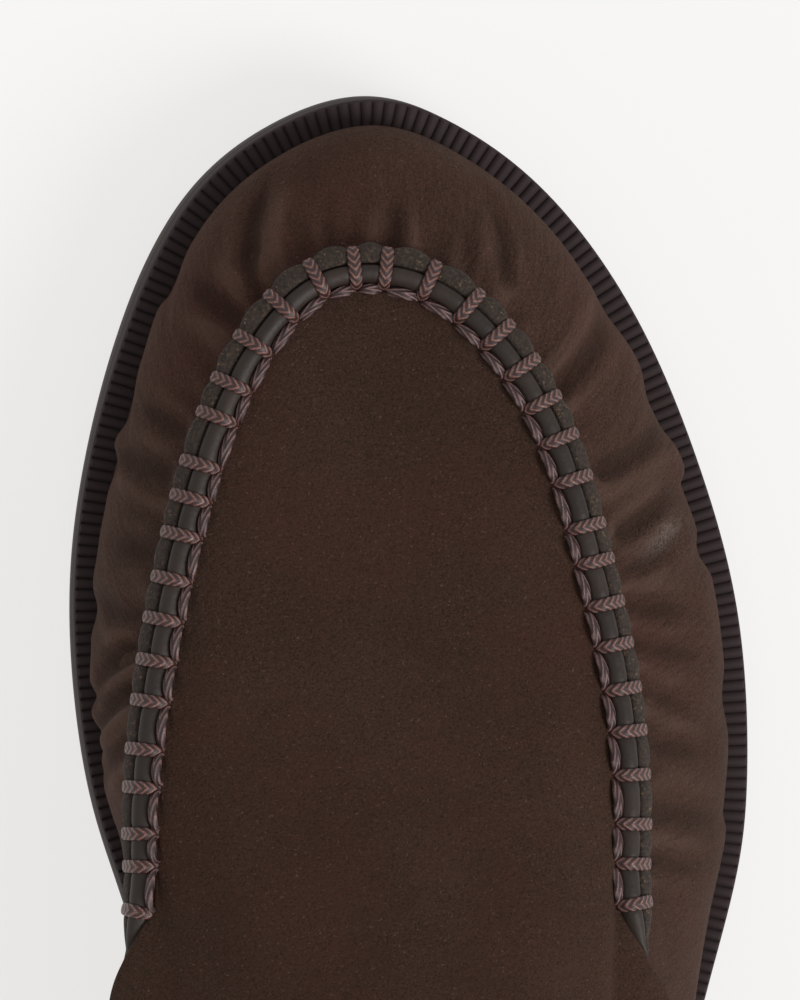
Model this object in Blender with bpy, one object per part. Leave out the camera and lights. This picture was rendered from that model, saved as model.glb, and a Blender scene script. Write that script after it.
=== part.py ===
"""A right moccasin loafer with a raised seam, a storm welt and a low heel.

Metres, +Z up. The toe points towards -Y and the inner side of the foot towards +X. The
origin lies on the floor, under the middle of the heel. Lengths along the shoe are measured
from the tip of the toe towards the heel and are called "along" below.
"""
import math
from typing import NamedTuple

import bmesh
import bpy
import numpy as np

# Sole
SOLE_LENGTH = 0.275
BALL_WIDTH = 0.1038
HEEL_WIDTH = 0.067
OUTSOLE_THICKNESS = 0.007
OUTSOLE_EDGE = 0.0008
TOE_SPRING = 0.008
TREAD_FRONT = 0.060
TREAD_BACK = 0.115

# Heel
HEEL_HEIGHT = 0.017
HEEL_LENGTH = 0.070
HEEL_TAPER = 0.0025
HEEL_BREAST_HOLLOW = 0.003
TOP_PIECE_THICKNESS = 0.005
TOP_PIECE_EDGE = 0.0006
HEEL_REST = 0.030

# Welt and insole
WELT_THICKNESS = 0.0032
WELT_SHOW = 0.0042
WELT_TUCK = 0.0048
WELT_EDGE = 0.0004
INSOLE_THICKNESS = 0.0022
INSOLE_EDGE = 0.0004

# Upper
LEATHER = 0.0018
THROAT = 0.165
BACK_LEAN = 0.0087
OPENING_WIDTH = 0.060
INSTEP_HEIGHT = 0.057
QUARTER_HEIGHT = 0.038
BACK_HEIGHT = 0.052
WALL_BULGE = 0.0020
CAP_BOW = 0.0012
INSTEP_DIP = 0.0070

# Raised seam, collar step, binding and back strip
SEAM_WIDTH = 0.0056
SEAM_HEIGHT = 0.0026
SEAM_EDGE = 0.0006
APRON_STEP = 0.0004
COLLAR_STEP = 0.0014
BINDING_HEIGHT = 0.0026
BINDING_LAP = 0.0006
STRIP_WIDTH = 0.013
STRIP_THICKNESS = 0.0012

# Running gap between pieces that lie on each other
GAP = 0.0003

COLUMNS_PER_SECTION = 3
WALL_ROWS = 6
CAP_ROWS = 6
HEEL_ARC_POINTS = 29
BREAST_POINTS = 7


class SoleRow(NamedTuple):
    """A section of the sole: shares of the sole's length and of its local width."""

    along: float
    heel_part: float
    inner: float
    outer: float


SOLE_ROWS = (
    SoleRow(0.000, 0.00, 0.033, 0.033),
    SoleRow(0.016, 0.00, 0.174, -0.103),
    SoleRow(0.056, 0.00, 0.298, -0.240),
    SoleRow(0.124, 0.00, 0.388, -0.369),
    SoleRow(0.207, 0.00, 0.449, -0.462),
    SoleRow(0.291, 0.00, 0.468, -0.518),
    SoleRow(0.375, 0.00, 0.445, -0.530),
    SoleRow(0.430, 0.00, 0.404, -0.515),
    SoleRow(0.482, 0.20, 0.388, -0.515),
    SoleRow(0.555, 0.45, 0.371, -0.506),
    SoleRow(0.644, 0.70, 0.379, -0.503),
    SoleRow(0.738, 1.00, 0.460, -0.540),
    SoleRow(0.833, 1.00, 0.493, -0.510),
    SoleRow(0.920, 1.00, 0.463, -0.472),
    SoleRow(0.975, 1.00, 0.306, -0.310),
    SoleRow(1.000, 1.00, 0.000, 0.000),
)


class LineRow(NamedTuple):
    """A section of the line of the raised seam, which runs on as the collar's lower edge.

    along is a share of the sole's length, inner and outer are shares of its local width, and
    the rises are shares of the instep's height. The slopes are the wall's lean there, in
    degrees from level. seam is 1 where the seam is raised and 0 where the line is a plain step.
    """

    along: float
    inner: float
    outer: float
    inner_rise: float
    outer_rise: float
    inner_slope: float
    outer_slope: float
    seam: float


LINE_ROWS = (
    LineRow(0.095, 0.053, 0.053, 0.414, 0.414, 22.0, 22.0, 1.0),
    LineRow(0.104, 0.138, -0.045, 0.425, 0.423, 25.0, 25.0, 1.0),
    LineRow(0.135, 0.214, -0.139, 0.456, 0.450, 32.0, 32.0, 1.0),
    LineRow(0.187, 0.279, -0.219, 0.495, 0.477, 41.0, 40.0, 1.0),
    LineRow(0.255, 0.329, -0.271, 0.535, 0.502, 50.0, 46.0, 1.0),
    LineRow(0.327, 0.364, -0.310, 0.572, 0.533, 58.0, 50.0, 1.0),
    LineRow(0.396, 0.380, -0.322, 0.620, 0.580, 68.0, 53.0, 1.0),
    LineRow(0.447, 0.385, -0.324, 0.645, 0.615, 80.0, 56.0, 1.0),
    LineRow(0.497, 0.452, -0.398, 0.600, 0.590, 90.0, 62.0, 0.0),
    LineRow(0.572, 0.461, -0.461, 0.480, 0.455, 92.0, 74.0, 0.0),
    LineRow(0.662, 0.459, -0.495, 0.345, 0.320, 88.0, 80.0, 0.0),
    LineRow(0.749, 0.502, -0.534, 0.295, 0.285, 84.0, 82.0, 0.0),
    LineRow(0.840, 0.496, -0.506, 0.345, 0.338, 82.0, 82.0, 0.0),
    LineRow(0.922, 0.442, -0.446, 0.400, 0.395, 82.0, 82.0, 0.0),
    LineRow(0.971, 0.261, -0.264, 0.433, 0.432, 82.0, 82.0, 0.0),
    LineRow(0.989, 0.000, 0.000, 0.442, 0.442, 82.0, 82.0, 0.0),
)


class TopRow(NamedTuple):
    """A section of the topline, round the opening.

    along is a share of the way from the throat to the back, inner and outer are shares of
    the opening's width. lift is 1 at the throat and at the back, and 0 at the lowest side.
    dip is how far the apron sinks under a straight line, as a share of INSTEP_DIP.
    """

    along: float
    inner: float
    outer: float
    lift: float
    dip: float


TOP_ROWS = (
    TopRow(0.000, 0.083, 0.083, 1.00, 1.00),
    TopRow(0.003, 0.158, 0.005, 0.98, 0.98),
    TopRow(0.010, 0.225, -0.083, 0.93, 0.86),
    TopRow(0.025, 0.290, -0.177, 0.86, 0.62),
    TopRow(0.050, 0.350, -0.263, 0.75, 0.34),
    TopRow(0.089, 0.403, -0.343, 0.57, 0.14),
    TopRow(0.140, 0.443, -0.412, 0.39, 0.03),
    TopRow(0.190, 0.467, -0.455, 0.25, 0.00),
    TopRow(0.250, 0.481, -0.483, 0.14, 0.00),
    TopRow(0.345, 0.492, -0.507, 0.04, 0.00),
    TopRow(0.468, 0.493, -0.513, 0.00, 0.00),
    TopRow(0.612, 0.480, -0.497, 0.07, 0.00),
    TopRow(0.770, 0.437, -0.447, 0.30, 0.00),
    TopRow(0.898, 0.330, -0.337, 0.64, 0.00),
    TopRow(0.975, 0.173, -0.177, 0.90, 0.00),
    TopRow(1.000, 0.000, 0.000, 1.00, 0.00),
)

LAST_ROW = len(SOLE_ROWS) - 1
SECTIONS = 2 * LAST_ROW
COLUMNS = SECTIONS * COLUMNS_PER_SECTION
LOWEST_TOP_ROW = min(range(len(TOP_ROWS)), key=lambda row: TOP_ROWS[row].lift)


def smooth(share):
    """An S-shaped step from 0 to 1."""
    share = np.clip(share, 0.0, 1.0)
    return share * share * (3.0 - 2.0 * share)


def underside(along):
    """Height of the outsole's underside: toe spring, flat tread, arch and heel seat."""
    spring = np.clip((TREAD_FRONT - along) / TREAD_FRONT, 0.0, None) ** 2 * TOE_SPRING
    breast = SOLE_LENGTH - HEEL_LENGTH
    return spring + HEEL_HEIGHT * smooth((along - TREAD_BACK) / (breast - TREAD_BACK))


def welt_base(along):
    """Height of the welt's underside."""
    return underside(along) + OUTSOLE_THICKNESS + GAP


def bench(along):
    """Height on which the upper stands, just over the welt."""
    return welt_base(along) + WELT_THICKNESS + GAP


def closed_spline(stations):
    """A smooth closed curve through the stations: a function of the place round the shoe."""
    stations = np.asarray(stations, dtype=float)
    count = len(stations)
    following = np.roll(stations, -1, axis=0)
    previous = np.roll(stations, 1, axis=0)
    matrix = 4.0 * np.eye(count) + np.roll(np.eye(count), 1, axis=0) + np.roll(np.eye(count), -1, axis=0)
    slopes = np.linalg.solve(matrix, 3.0 * (following - previous))

    def curve(place):
        place = np.asarray(place, dtype=float) % count
        index = np.floor(place).astype(int)
        after = (index + 1) % count
        t = (place - index).reshape(place.shape + (1,) * (stations.ndim - 1))
        return (
            (2 * t**3 - 3 * t**2 + 1) * stations[index]
            + (t**3 - 2 * t**2 + t) * slopes[index]
            + (3 * t**2 - 2 * t**3) * stations[after]
            + (t**3 - t**2) * slopes[after]
        )

    return curve


def round_the_shoe(inner, outer):
    """Stations from the toe down the inner side to the heel and back up the outer side."""
    return [inner(row) for row in range(LAST_ROW + 1)] + [outer(row) for row in range(LAST_ROW - 1, 0, -1)]


def local_width(row):
    """The width that a section's shares are taken of."""
    return BALL_WIDTH + (HEEL_WIDTH - BALL_WIDTH) * SOLE_ROWS[row].heel_part


def top_rise(row):
    """Height of the topline over the bench at a section."""
    end = INSTEP_HEIGHT if row <= LOWEST_TOP_ROW else BACK_HEIGHT
    return QUARTER_HEIGHT + (end - QUARTER_HEIGHT) * TOP_ROWS[row].lift


def sole_station(row, across):
    """One point of the sole's outline: across and along."""
    return (across * local_width(row), SOLE_ROWS[row].along * SOLE_LENGTH)


def line_station(row, across, rise, slope):
    """One point of the seam line: across, along, height, slope, seam."""
    line = LINE_ROWS[row]
    along = line.along * SOLE_LENGTH
    height = bench(along) + rise * INSTEP_HEIGHT
    return (across * local_width(row), along, height, math.radians(slope), line.seam)


def inner_line(row):
    """Where the line runs at a section on the inner side: across, rise and slope."""
    line = LINE_ROWS[row]
    return line.inner, line.inner_rise, line.inner_slope


def outer_line(row):
    """Where the line runs at a section on the outer side: across, rise and slope."""
    line = LINE_ROWS[row]
    return line.outer, line.outer_rise, line.outer_slope


def top_station(row, across):
    """One point of the topline: across, along, height, dip."""
    top = TOP_ROWS[row]
    along = THROAT + (SOLE_LENGTH - BACK_LEAN - THROAT) * top.along
    return (across * OPENING_WIDTH, along, bench(along) + top_rise(row), top.dip * INSTEP_DIP)


SOLE_CURVE = closed_spline(
    round_the_shoe(
        lambda row: sole_station(row, SOLE_ROWS[row].inner),
        lambda row: sole_station(row, SOLE_ROWS[row].outer),
    )
)
LINE_CURVE = closed_spline(
    round_the_shoe(
        lambda row: line_station(row, *inner_line(row)),
        lambda row: line_station(row, *outer_line(row)),
    )
)
TOP_CURVE = closed_spline(
    round_the_shoe(
        lambda row: top_station(row, TOP_ROWS[row].inner),
        lambda row: top_station(row, TOP_ROWS[row].outer),
    )
)


def outward(curve, place):
    """Level unit vectors, across and along, that point out of a closed curve."""
    step = 0.01
    run = curve(place + step)[..., :2] - curve(place - step)[..., :2]
    run /= np.linalg.norm(run, axis=-1, keepdims=True)
    return np.stack([run[..., 1], -run[..., 0]], axis=-1)


def sole_loop(place, inset):
    """The sole's outline, moved inwards by inset: across and along."""
    return SOLE_CURVE(place) - outward(SOLE_CURVE, place) * inset


def spatial(plan, height):
    """Points in space from across and along in plan, and a height."""
    height = np.broadcast_to(height, plan.shape[:-1])
    return np.concatenate([plan, height[..., None]], axis=-1)


def wall_point(place, share):
    """A point of the side wall, from the foot (share 0) to the seam line (share 1)."""
    foot_plan = sole_loop(place, WELT_SHOW)
    foot = spatial(foot_plan, bench(foot_plan[..., 1]))
    line = LINE_CURVE(place)
    shoulder, slope = line[..., :3], line[..., 3:4]
    reach = 0.4 * np.linalg.norm(shoulder - foot, axis=-1, keepdims=True)
    outwards = spatial(outward(SOLE_CURVE, place), 0.0)
    inwards = -spatial(outward(LINE_CURVE, place), 0.0)
    up = np.array([0.0, 0.0, 1.0])
    low = foot + up * reach + outwards * WALL_BULGE
    high = shoulder - reach * (inwards * np.cos(slope) + up * np.sin(slope))
    t = share
    return (1 - t) ** 3 * foot + 3 * (1 - t) ** 2 * t * low + 3 * (1 - t) * t**2 * high + t**3 * shoulder


def wall_share_under_line(place, distance):
    """The share of the wall that ends a short distance below the seam line."""
    foot_plan = sole_loop(place, WELT_SHOW)
    foot = spatial(foot_plan, bench(foot_plan[..., 1]))
    span = np.linalg.norm(LINE_CURVE(place)[..., :3] - foot, axis=-1)
    return 1.0 - distance / (3.0 * 0.4 * span)


def over_line(place, distance):
    """A point a short distance past the seam line, on the way to the topline."""
    line = LINE_CURVE(place)
    flatter = math.radians(18.0) * line[..., 4:5]
    slope = line[..., 3:4] - flatter
    inwards = -spatial(outward(LINE_CURVE, place), 0.0)
    distance = np.asarray(distance)[..., None]
    rise = inwards * np.cos(slope) + np.array([0.0, 0.0, 1.0]) * np.sin(slope)
    return line[..., :3] + rise * distance


def cap_point(place, start, share):
    """A point of the apron or collar, from its edge at the line to the topline."""
    top = TOP_CURVE(place)
    outwards = spatial(outward(LINE_CURVE, place), 0.0)
    plain = 1.0 - LINE_CURVE(place)[..., 4:5]
    hump = math.sin(math.pi * share**0.9)
    point = start + (top[..., :3] - start) * share
    point = point + outwards * plain * CAP_BOW * math.sin(math.pi * share)
    point[..., 2] -= top[..., 3] * hump
    return point


class Course(NamedTuple):
    """One row of points round the upper, and how far its outer face stands off the last."""

    points: np.ndarray
    relief: np.ndarray


def blend(seam, raised, plain):
    """A value that is raised where the seam stands and plain elsewhere."""
    return plain + (raised - plain) * seam


def upper_courses(place):
    """The courses of the upper, from its foot over the seam to the topline."""
    seam = np.clip(LINE_CURVE(place)[..., 4], 0.0, 1.0)
    flat = np.zeros_like(seam)
    half = SEAM_WIDTH / 2
    base = wall_share_under_line(place, blend(seam, half, SEAM_EDGE))
    crest = wall_share_under_line(place, blend(seam, half - SEAM_EDGE, 0.0))
    courses = []
    for row in range(WALL_ROWS + 1):
        share = (base * row / WALL_ROWS)[..., None]
        courses.append(Course(wall_point(place, share), flat))
    courses.append(Course(wall_point(place, crest[..., None]), blend(seam, SEAM_HEIGHT, COLLAR_STEP)))
    inner_crest = over_line(place, blend(seam, half - SEAM_EDGE, SEAM_EDGE))
    inner_base = over_line(place, blend(seam, half, 2 * SEAM_EDGE))
    apron = blend(seam, APRON_STEP, COLLAR_STEP)
    courses.append(Course(inner_crest, blend(seam, SEAM_HEIGHT, COLLAR_STEP)))
    for row in range(CAP_ROWS + 1):
        courses.append(Course(cap_point(place, inner_base, row / CAP_ROWS), apron))
    return courses


def grid_normals(points):
    """Outward unit normals of a grid of rows, from foot to topline, and closed columns."""
    round_step = np.roll(points, -1, axis=1) - np.roll(points, 1, axis=1)
    up_step = np.gradient(points, axis=0)
    normals = np.cross(round_step, up_step)
    return normals / np.linalg.norm(normals, axis=-1, keepdims=True)


def places(count=COLUMNS):
    """Evenly spread places round the shoe."""
    return np.arange(count) * (SECTIONS / count)


UPPER_COURSES = upper_courses(places())
UPPER_BASE = np.stack([course.points for course in UPPER_COURSES])
UPPER_RELIEF = np.stack([course.relief for course in UPPER_COURSES])
UPPER_NORMALS = grid_normals(UPPER_BASE)


def to_world(points):
    """From across, along and height to the frame with its origin under the heel."""
    moved = np.array(points, dtype=float)
    moved[..., 1] -= SOLE_LENGTH - HEEL_REST
    return moved


def clear_scene():
    """Remove the objects that a new file starts with."""
    for item in list(bpy.data.objects):
        bpy.data.objects.remove(item, do_unlink=True)


def material(name, colour, roughness):
    """A plain Principled material."""
    made = bpy.data.materials.new(name)
    made.use_nodes = True
    shader = made.node_tree.nodes["Principled BSDF"]
    shader.inputs["Base Color"].default_value = (*colour, 1.0)
    shader.inputs["Roughness"].default_value = roughness
    shader.inputs["Metallic"].default_value = 0.0
    return made


def add_object(name, bm, finish):
    """Turn a bmesh into a named object with its material, its faces pointing out."""
    bmesh.ops.recalc_face_normals(bm, faces=bm.faces)
    mesh = bpy.data.meshes.new(name)
    bm.to_mesh(mesh)
    bm.free()
    mesh.materials.append(finish)
    mesh.shade_smooth()
    mesh.set_sharp_from_angle(angle=math.radians(35.0))
    made = bpy.data.objects.new(name, mesh)
    bpy.context.scene.collection.objects.link(made)
    return made


def add_loop(bm, points):
    """Vertices at a row of points."""
    return [bm.verts.new(point) for point in to_world(points)]


def join_loops(bm, first, second, closed=True):
    """Quads between two rows of vertices."""
    count = len(first)
    for index in range(count if closed else count - 1):
        after = (index + 1) % count
        bm.faces.new((first[index], first[after], second[after], second[index]))


def ring_body(name, loops, finish):
    """A body that runs right round the shoe: its loops follow each other round its section."""
    bm = bmesh.new()
    rows = [add_loop(bm, loop) for loop in loops]
    for index, row in enumerate(rows):
        join_loops(bm, row, rows[(index + 1) % len(rows)])
    return add_object(name, bm, finish)


def cap_plate(bm, row):
    """Close a plate with strips that run straight across it, from side to side."""
    half = len(row) // 2
    bm.faces.new((row[0], row[1], row[-1]))
    for index in range(1, half - 1):
        bm.faces.new((row[index], row[index + 1], row[-index - 1], row[-index]))
    bm.faces.new((row[half - 1], row[half], row[half + 1]))


def plate_body(name, loops, finish):
    """A plate of the sole's shape: loops from its underside up its edge to its top."""
    bm = bmesh.new()
    rows = [add_loop(bm, loop) for loop in loops]
    for lower, upper in zip(rows, rows[1:]):
        join_loops(bm, lower, upper)
    cap_plate(bm, rows[0])
    cap_plate(bm, rows[-1])
    return add_object(name, bm, finish)


def prism_body(name, loops, finish):
    """A block with a flat underside and a flat top."""
    bm = bmesh.new()
    rows = [add_loop(bm, loop) for loop in loops]
    for lower, upper in zip(rows, rows[1:]):
        join_loops(bm, lower, upper)
    bm.faces.new(rows[0])
    bm.faces.new(rows[-1])
    return add_object(name, bm, finish)


def sole_level(inset, base, rise):
    """A loop of the sole's outline, inset, at a height over a base height."""
    plan = sole_loop(places(), inset)
    return spatial(plan, base(plan[..., 1]) + rise)


def make_outsole(finish):
    """The outsole: toe spring, flat tread, arch and heel seat in one plate."""
    profile = (
        (OUTSOLE_EDGE, 0.0),
        (0.0, OUTSOLE_EDGE),
        (0.0, OUTSOLE_THICKNESS),
    )
    return plate_body("outsole", [sole_level(inset, underside, rise) for inset, rise in profile], finish)


def make_welt(finish):
    """The welt: a ring that shows outside the upper and is tucked under it."""
    width = WELT_SHOW + WELT_TUCK
    profile = (
        (0.0, 0.0),
        (0.0, WELT_THICKNESS - WELT_EDGE),
        (WELT_EDGE, WELT_THICKNESS),
        (width, WELT_THICKNESS),
        (width, 0.0),
    )
    return ring_body("welt", [sole_level(inset, welt_base, rise) for inset, rise in profile], finish)


def make_insole(finish):
    """The insole: it fills the welt's ring and laps over it inside the upper."""
    inside_welt = WELT_SHOW + WELT_TUCK + GAP
    inside_upper = WELT_SHOW + LEATHER + 2 * GAP
    over_welt = WELT_THICKNESS + GAP
    top = over_welt + INSOLE_THICKNESS
    profile = (
        (inside_welt, 0.0),
        (inside_welt, over_welt),
        (inside_upper, over_welt),
        (inside_upper, top - INSOLE_EDGE),
        (inside_upper + INSOLE_EDGE, top),
    )
    return plate_body("insole", [sole_level(inset, welt_base, rise) for inset, rise in profile], finish)


def heel_plan(inset):
    """The heel's footprint: the sole's outline behind the breast, and the hollow breast."""
    breast = SOLE_LENGTH - HEEL_LENGTH + inset
    fine = places(COLUMNS * 20)
    behind = fine[sole_loop(fine, inset)[:, 1] > breast]
    arc = sole_loop(np.linspace(behind[0], behind[-1], HEEL_ARC_POINTS), inset)
    shares = np.linspace(0.0, 1.0, BREAST_POINTS + 2)[1:-1]
    across = arc[-1, 0] + (arc[0, 0] - arc[-1, 0]) * shares
    along = breast + HEEL_BREAST_HOLLOW * 4 * shares * (1 - shares)
    return np.concatenate([arc, np.stack([across, along], axis=-1)])


def make_heel(block_finish, top_piece_finish):
    """The heel block under the heel seat, and the top piece that stands on the floor."""
    split = TOP_PIECE_THICKNESS

    def level(height, edge=0.0):
        taper = HEEL_TAPER * (1.0 - height / HEEL_HEIGHT)
        return spatial(heel_plan(taper + edge + TOP_PIECE_EDGE), height)

    top_piece = (level(0.0, TOP_PIECE_EDGE), level(TOP_PIECE_EDGE), level(split - GAP))
    block = (level(split), level(HEEL_HEIGHT - GAP))
    prism_body("heel_top_piece", top_piece, top_piece_finish)
    prism_body("heel_block", block, block_finish)


def make_upper(finish):
    """The upper: one hollow wall, open at the collar and underneath."""
    outer = UPPER_BASE + UPPER_NORMALS * UPPER_RELIEF[..., None]
    inner = UPPER_BASE - UPPER_NORMALS * LEATHER
    seam_courses = (WALL_ROWS + 1, WALL_ROWS + 2)
    lining = [row for index, row in enumerate(inner) if index not in seam_courses]
    return ring_body("upper", list(outer) + lining[::-1], finish)


def make_binding(finish):
    """The binding that caps the topline's cut edge."""
    rim = UPPER_BASE[-1]
    up = rim - UPPER_BASE[-2]
    up /= np.linalg.norm(up, axis=-1, keepdims=True)
    out = UPPER_NORMALS[-1]
    relief = UPPER_RELIEF[-1][..., None]
    outer = relief + BINDING_LAP
    inner = -np.full_like(relief, LEATHER + BINDING_LAP)
    profile = (
        (outer, 0.0),
        (outer, 0.55),
        (outer * 0.75 + inner * 0.25, 0.9),
        ((outer + inner) / 2, 1.0),
        (outer * 0.25 + inner * 0.75, 0.9),
        (inner, 0.55),
        (inner, 0.0),
    )
    loops = [rim + out * side + up * (GAP + BINDING_HEIGHT * share) for side, share in profile]
    return ring_body("topline_binding", loops, finish)


def make_back_strip(finish):
    """The strip that covers the upright seam at the back, laid on the upper's own wall."""
    heel = SECTIONS / 2
    reach = STRIP_WIDTH / 2 / np.linalg.norm(LINE_CURVE(heel + 0.5)[:2] - LINE_CURVE(heel)[:2]) / 2
    spots = np.linspace(heel - reach, heel + reach, 5)
    courses = upper_courses(spots)
    base = np.stack([course.points for course in courses])
    relief = np.stack([course.relief for course in courses])[..., None]
    normals = np.cross(np.gradient(base, axis=1), np.gradient(base, axis=0))
    normals /= np.linalg.norm(normals, axis=-1, keepdims=True)
    under = base + normals * (relief + GAP)
    over = base + normals * (relief + GAP + STRIP_THICKNESS)
    bm = bmesh.new()
    inner_rows = [add_loop(bm, row) for row in under]
    outer_rows = [add_loop(bm, row) for row in over]
    for rows in (inner_rows, outer_rows):
        for lower, upper in zip(rows, rows[1:]):
            join_loops(bm, lower, upper, closed=False)
    join_loops(bm, inner_rows[0], outer_rows[0], closed=False)
    join_loops(bm, inner_rows[-1], outer_rows[-1], closed=False)
    for end in (0, -1):
        inner_edge = [row[end] for row in inner_rows]
        outer_edge = [row[end] for row in outer_rows]
        join_loops(bm, inner_edge, outer_edge, closed=False)
    return add_object("back_strip", bm, finish)


def main():
    """Build the shoe from the floor up."""
    clear_scene()
    nubuck = material("brown_nubuck", (0.052, 0.024, 0.017), 0.85)
    binding = material("brown_binding", (0.040, 0.018, 0.013), 0.60)
    lining = material("tan_insole", (0.36, 0.22, 0.13), 0.60)
    welt = material("brown_welt_rubber", (0.022, 0.012, 0.010), 0.40)
    sole = material("brown_sole_rubber", (0.030, 0.020, 0.017), 0.35)
    rubber = material("dark_top_piece_rubber", (0.015, 0.012, 0.011), 0.55)
    make_outsole(sole)
    make_heel(sole, rubber)
    make_welt(welt)
    make_insole(lining)
    make_upper(nubuck)
    make_binding(binding)
    make_back_strip(nubuck)


main()
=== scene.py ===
"""The looks of a right moccasin loafer in dark brown nubuck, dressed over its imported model.

Metres, +Z up. The toe points towards -Y and the inner side of the foot towards +X. Lengths
along the shoe are measured from the tip of the toe towards the heel and are called "along".
A place round the shoe counts sections: 0 at the toe, 15 at the heel, then up the outer side
to 30, which is the toe again.
"""

import logging
import math
from dataclasses import dataclass
from enum import Enum
from typing import Callable, NamedTuple, Sequence

import bmesh
import bpy
import numpy as np
from mathutils import Matrix, Vector

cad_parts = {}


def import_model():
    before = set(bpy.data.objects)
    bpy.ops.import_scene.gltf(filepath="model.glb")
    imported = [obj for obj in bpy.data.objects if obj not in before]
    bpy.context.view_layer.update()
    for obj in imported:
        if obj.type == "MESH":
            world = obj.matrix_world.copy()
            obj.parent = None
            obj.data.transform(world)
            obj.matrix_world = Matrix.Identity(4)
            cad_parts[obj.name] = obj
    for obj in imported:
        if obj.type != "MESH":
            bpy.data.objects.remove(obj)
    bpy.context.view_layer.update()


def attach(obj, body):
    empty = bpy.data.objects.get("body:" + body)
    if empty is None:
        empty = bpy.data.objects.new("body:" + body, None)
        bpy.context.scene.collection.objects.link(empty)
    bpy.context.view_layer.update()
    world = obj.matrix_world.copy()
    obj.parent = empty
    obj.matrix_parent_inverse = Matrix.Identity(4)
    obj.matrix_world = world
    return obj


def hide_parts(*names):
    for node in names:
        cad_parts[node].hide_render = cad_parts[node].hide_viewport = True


LOG = logging.getLogger("loafer")
MM = 0.001
WELD = 2e-6
HANDLE = 0.4
UP = np.array([0.0, 0.0, 1.0])

Curve = Callable[[np.ndarray], np.ndarray]
Colour = tuple[float, float, float]


class Slot(Enum):
    """The record's material slots."""

    NUBUCK = "nubuck"
    BINDING = "binding_leather"
    INSOLE = "insole_leather"
    CORD = "sewing_cord"
    WELT = "welt_rubber"
    SOLE = "sole_rubber"
    TOP_PIECE = "top_piece_rubber"


class SoleRow(NamedTuple):
    """A section of the sole: shares of the sole's length and of its local width."""

    along: float
    heel_part: float
    inner: float
    outer: float


class LineRow(NamedTuple):
    """A section of the seam line: shares of length, local width and instep, slopes in degrees."""

    along: float
    inner: float
    outer: float
    inner_rise: float
    outer_rise: float
    inner_slope: float
    outer_slope: float
    seam: float


class TopRow(NamedTuple):
    """A section of the topline: shares of the opening's length and width, lift and dip."""

    along: float
    inner: float
    outer: float
    lift: float
    dip: float


SOLE_ROWS = (
    SoleRow(0.000, 0.00, 0.033, 0.033),
    SoleRow(0.016, 0.00, 0.174, -0.103),
    SoleRow(0.056, 0.00, 0.298, -0.240),
    SoleRow(0.124, 0.00, 0.388, -0.369),
    SoleRow(0.207, 0.00, 0.449, -0.462),
    SoleRow(0.291, 0.00, 0.468, -0.518),
    SoleRow(0.375, 0.00, 0.445, -0.530),
    SoleRow(0.430, 0.00, 0.404, -0.515),
    SoleRow(0.482, 0.20, 0.388, -0.515),
    SoleRow(0.555, 0.45, 0.371, -0.506),
    SoleRow(0.644, 0.70, 0.379, -0.503),
    SoleRow(0.738, 1.00, 0.460, -0.540),
    SoleRow(0.833, 1.00, 0.493, -0.510),
    SoleRow(0.920, 1.00, 0.463, -0.472),
    SoleRow(0.975, 1.00, 0.306, -0.310),
    SoleRow(1.000, 1.00, 0.000, 0.000),
)
LINE_ROWS = (
    LineRow(0.095, 0.053, 0.053, 0.414, 0.414, 22.0, 22.0, 1.0),
    LineRow(0.104, 0.138, -0.045, 0.425, 0.423, 25.0, 25.0, 1.0),
    LineRow(0.135, 0.214, -0.139, 0.456, 0.450, 32.0, 32.0, 1.0),
    LineRow(0.187, 0.279, -0.219, 0.495, 0.477, 41.0, 40.0, 1.0),
    LineRow(0.255, 0.329, -0.271, 0.535, 0.502, 50.0, 46.0, 1.0),
    LineRow(0.327, 0.364, -0.310, 0.572, 0.533, 58.0, 50.0, 1.0),
    LineRow(0.396, 0.380, -0.322, 0.620, 0.580, 68.0, 53.0, 1.0),
    LineRow(0.447, 0.385, -0.324, 0.645, 0.615, 80.0, 56.0, 1.0),
    LineRow(0.497, 0.452, -0.398, 0.600, 0.590, 90.0, 62.0, 0.0),
    LineRow(0.572, 0.461, -0.461, 0.480, 0.455, 92.0, 74.0, 0.0),
    LineRow(0.662, 0.459, -0.495, 0.345, 0.320, 88.0, 80.0, 0.0),
    LineRow(0.749, 0.502, -0.534, 0.295, 0.285, 84.0, 82.0, 0.0),
    LineRow(0.840, 0.496, -0.506, 0.345, 0.338, 82.0, 82.0, 0.0),
    LineRow(0.922, 0.442, -0.446, 0.400, 0.395, 82.0, 82.0, 0.0),
    LineRow(0.971, 0.261, -0.264, 0.433, 0.432, 82.0, 82.0, 0.0),
    LineRow(0.989, 0.000, 0.000, 0.442, 0.442, 82.0, 82.0, 0.0),
)
TOP_ROWS = (
    TopRow(0.000, 0.083, 0.083, 1.00, 1.00),
    TopRow(0.003, 0.158, 0.005, 0.98, 0.98),
    TopRow(0.010, 0.225, -0.083, 0.93, 0.86),
    TopRow(0.025, 0.290, -0.177, 0.86, 0.62),
    TopRow(0.050, 0.350, -0.263, 0.75, 0.34),
    TopRow(0.089, 0.403, -0.343, 0.57, 0.14),
    TopRow(0.140, 0.443, -0.412, 0.39, 0.03),
    TopRow(0.190, 0.467, -0.455, 0.25, 0.00),
    TopRow(0.250, 0.481, -0.483, 0.14, 0.00),
    TopRow(0.345, 0.492, -0.507, 0.04, 0.00),
    TopRow(0.468, 0.493, -0.513, 0.00, 0.00),
    TopRow(0.612, 0.480, -0.497, 0.07, 0.00),
    TopRow(0.770, 0.437, -0.447, 0.30, 0.00),
    TopRow(0.898, 0.330, -0.337, 0.64, 0.00),
    TopRow(0.975, 0.173, -0.177, 0.90, 0.00),
    TopRow(1.000, 0.000, 0.000, 1.00, 0.00),
)
LAST_ROW = len(SOLE_ROWS) - 1
SECTIONS = 2 * LAST_ROW
HEEL_PLACE = SECTIONS / 2
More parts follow.
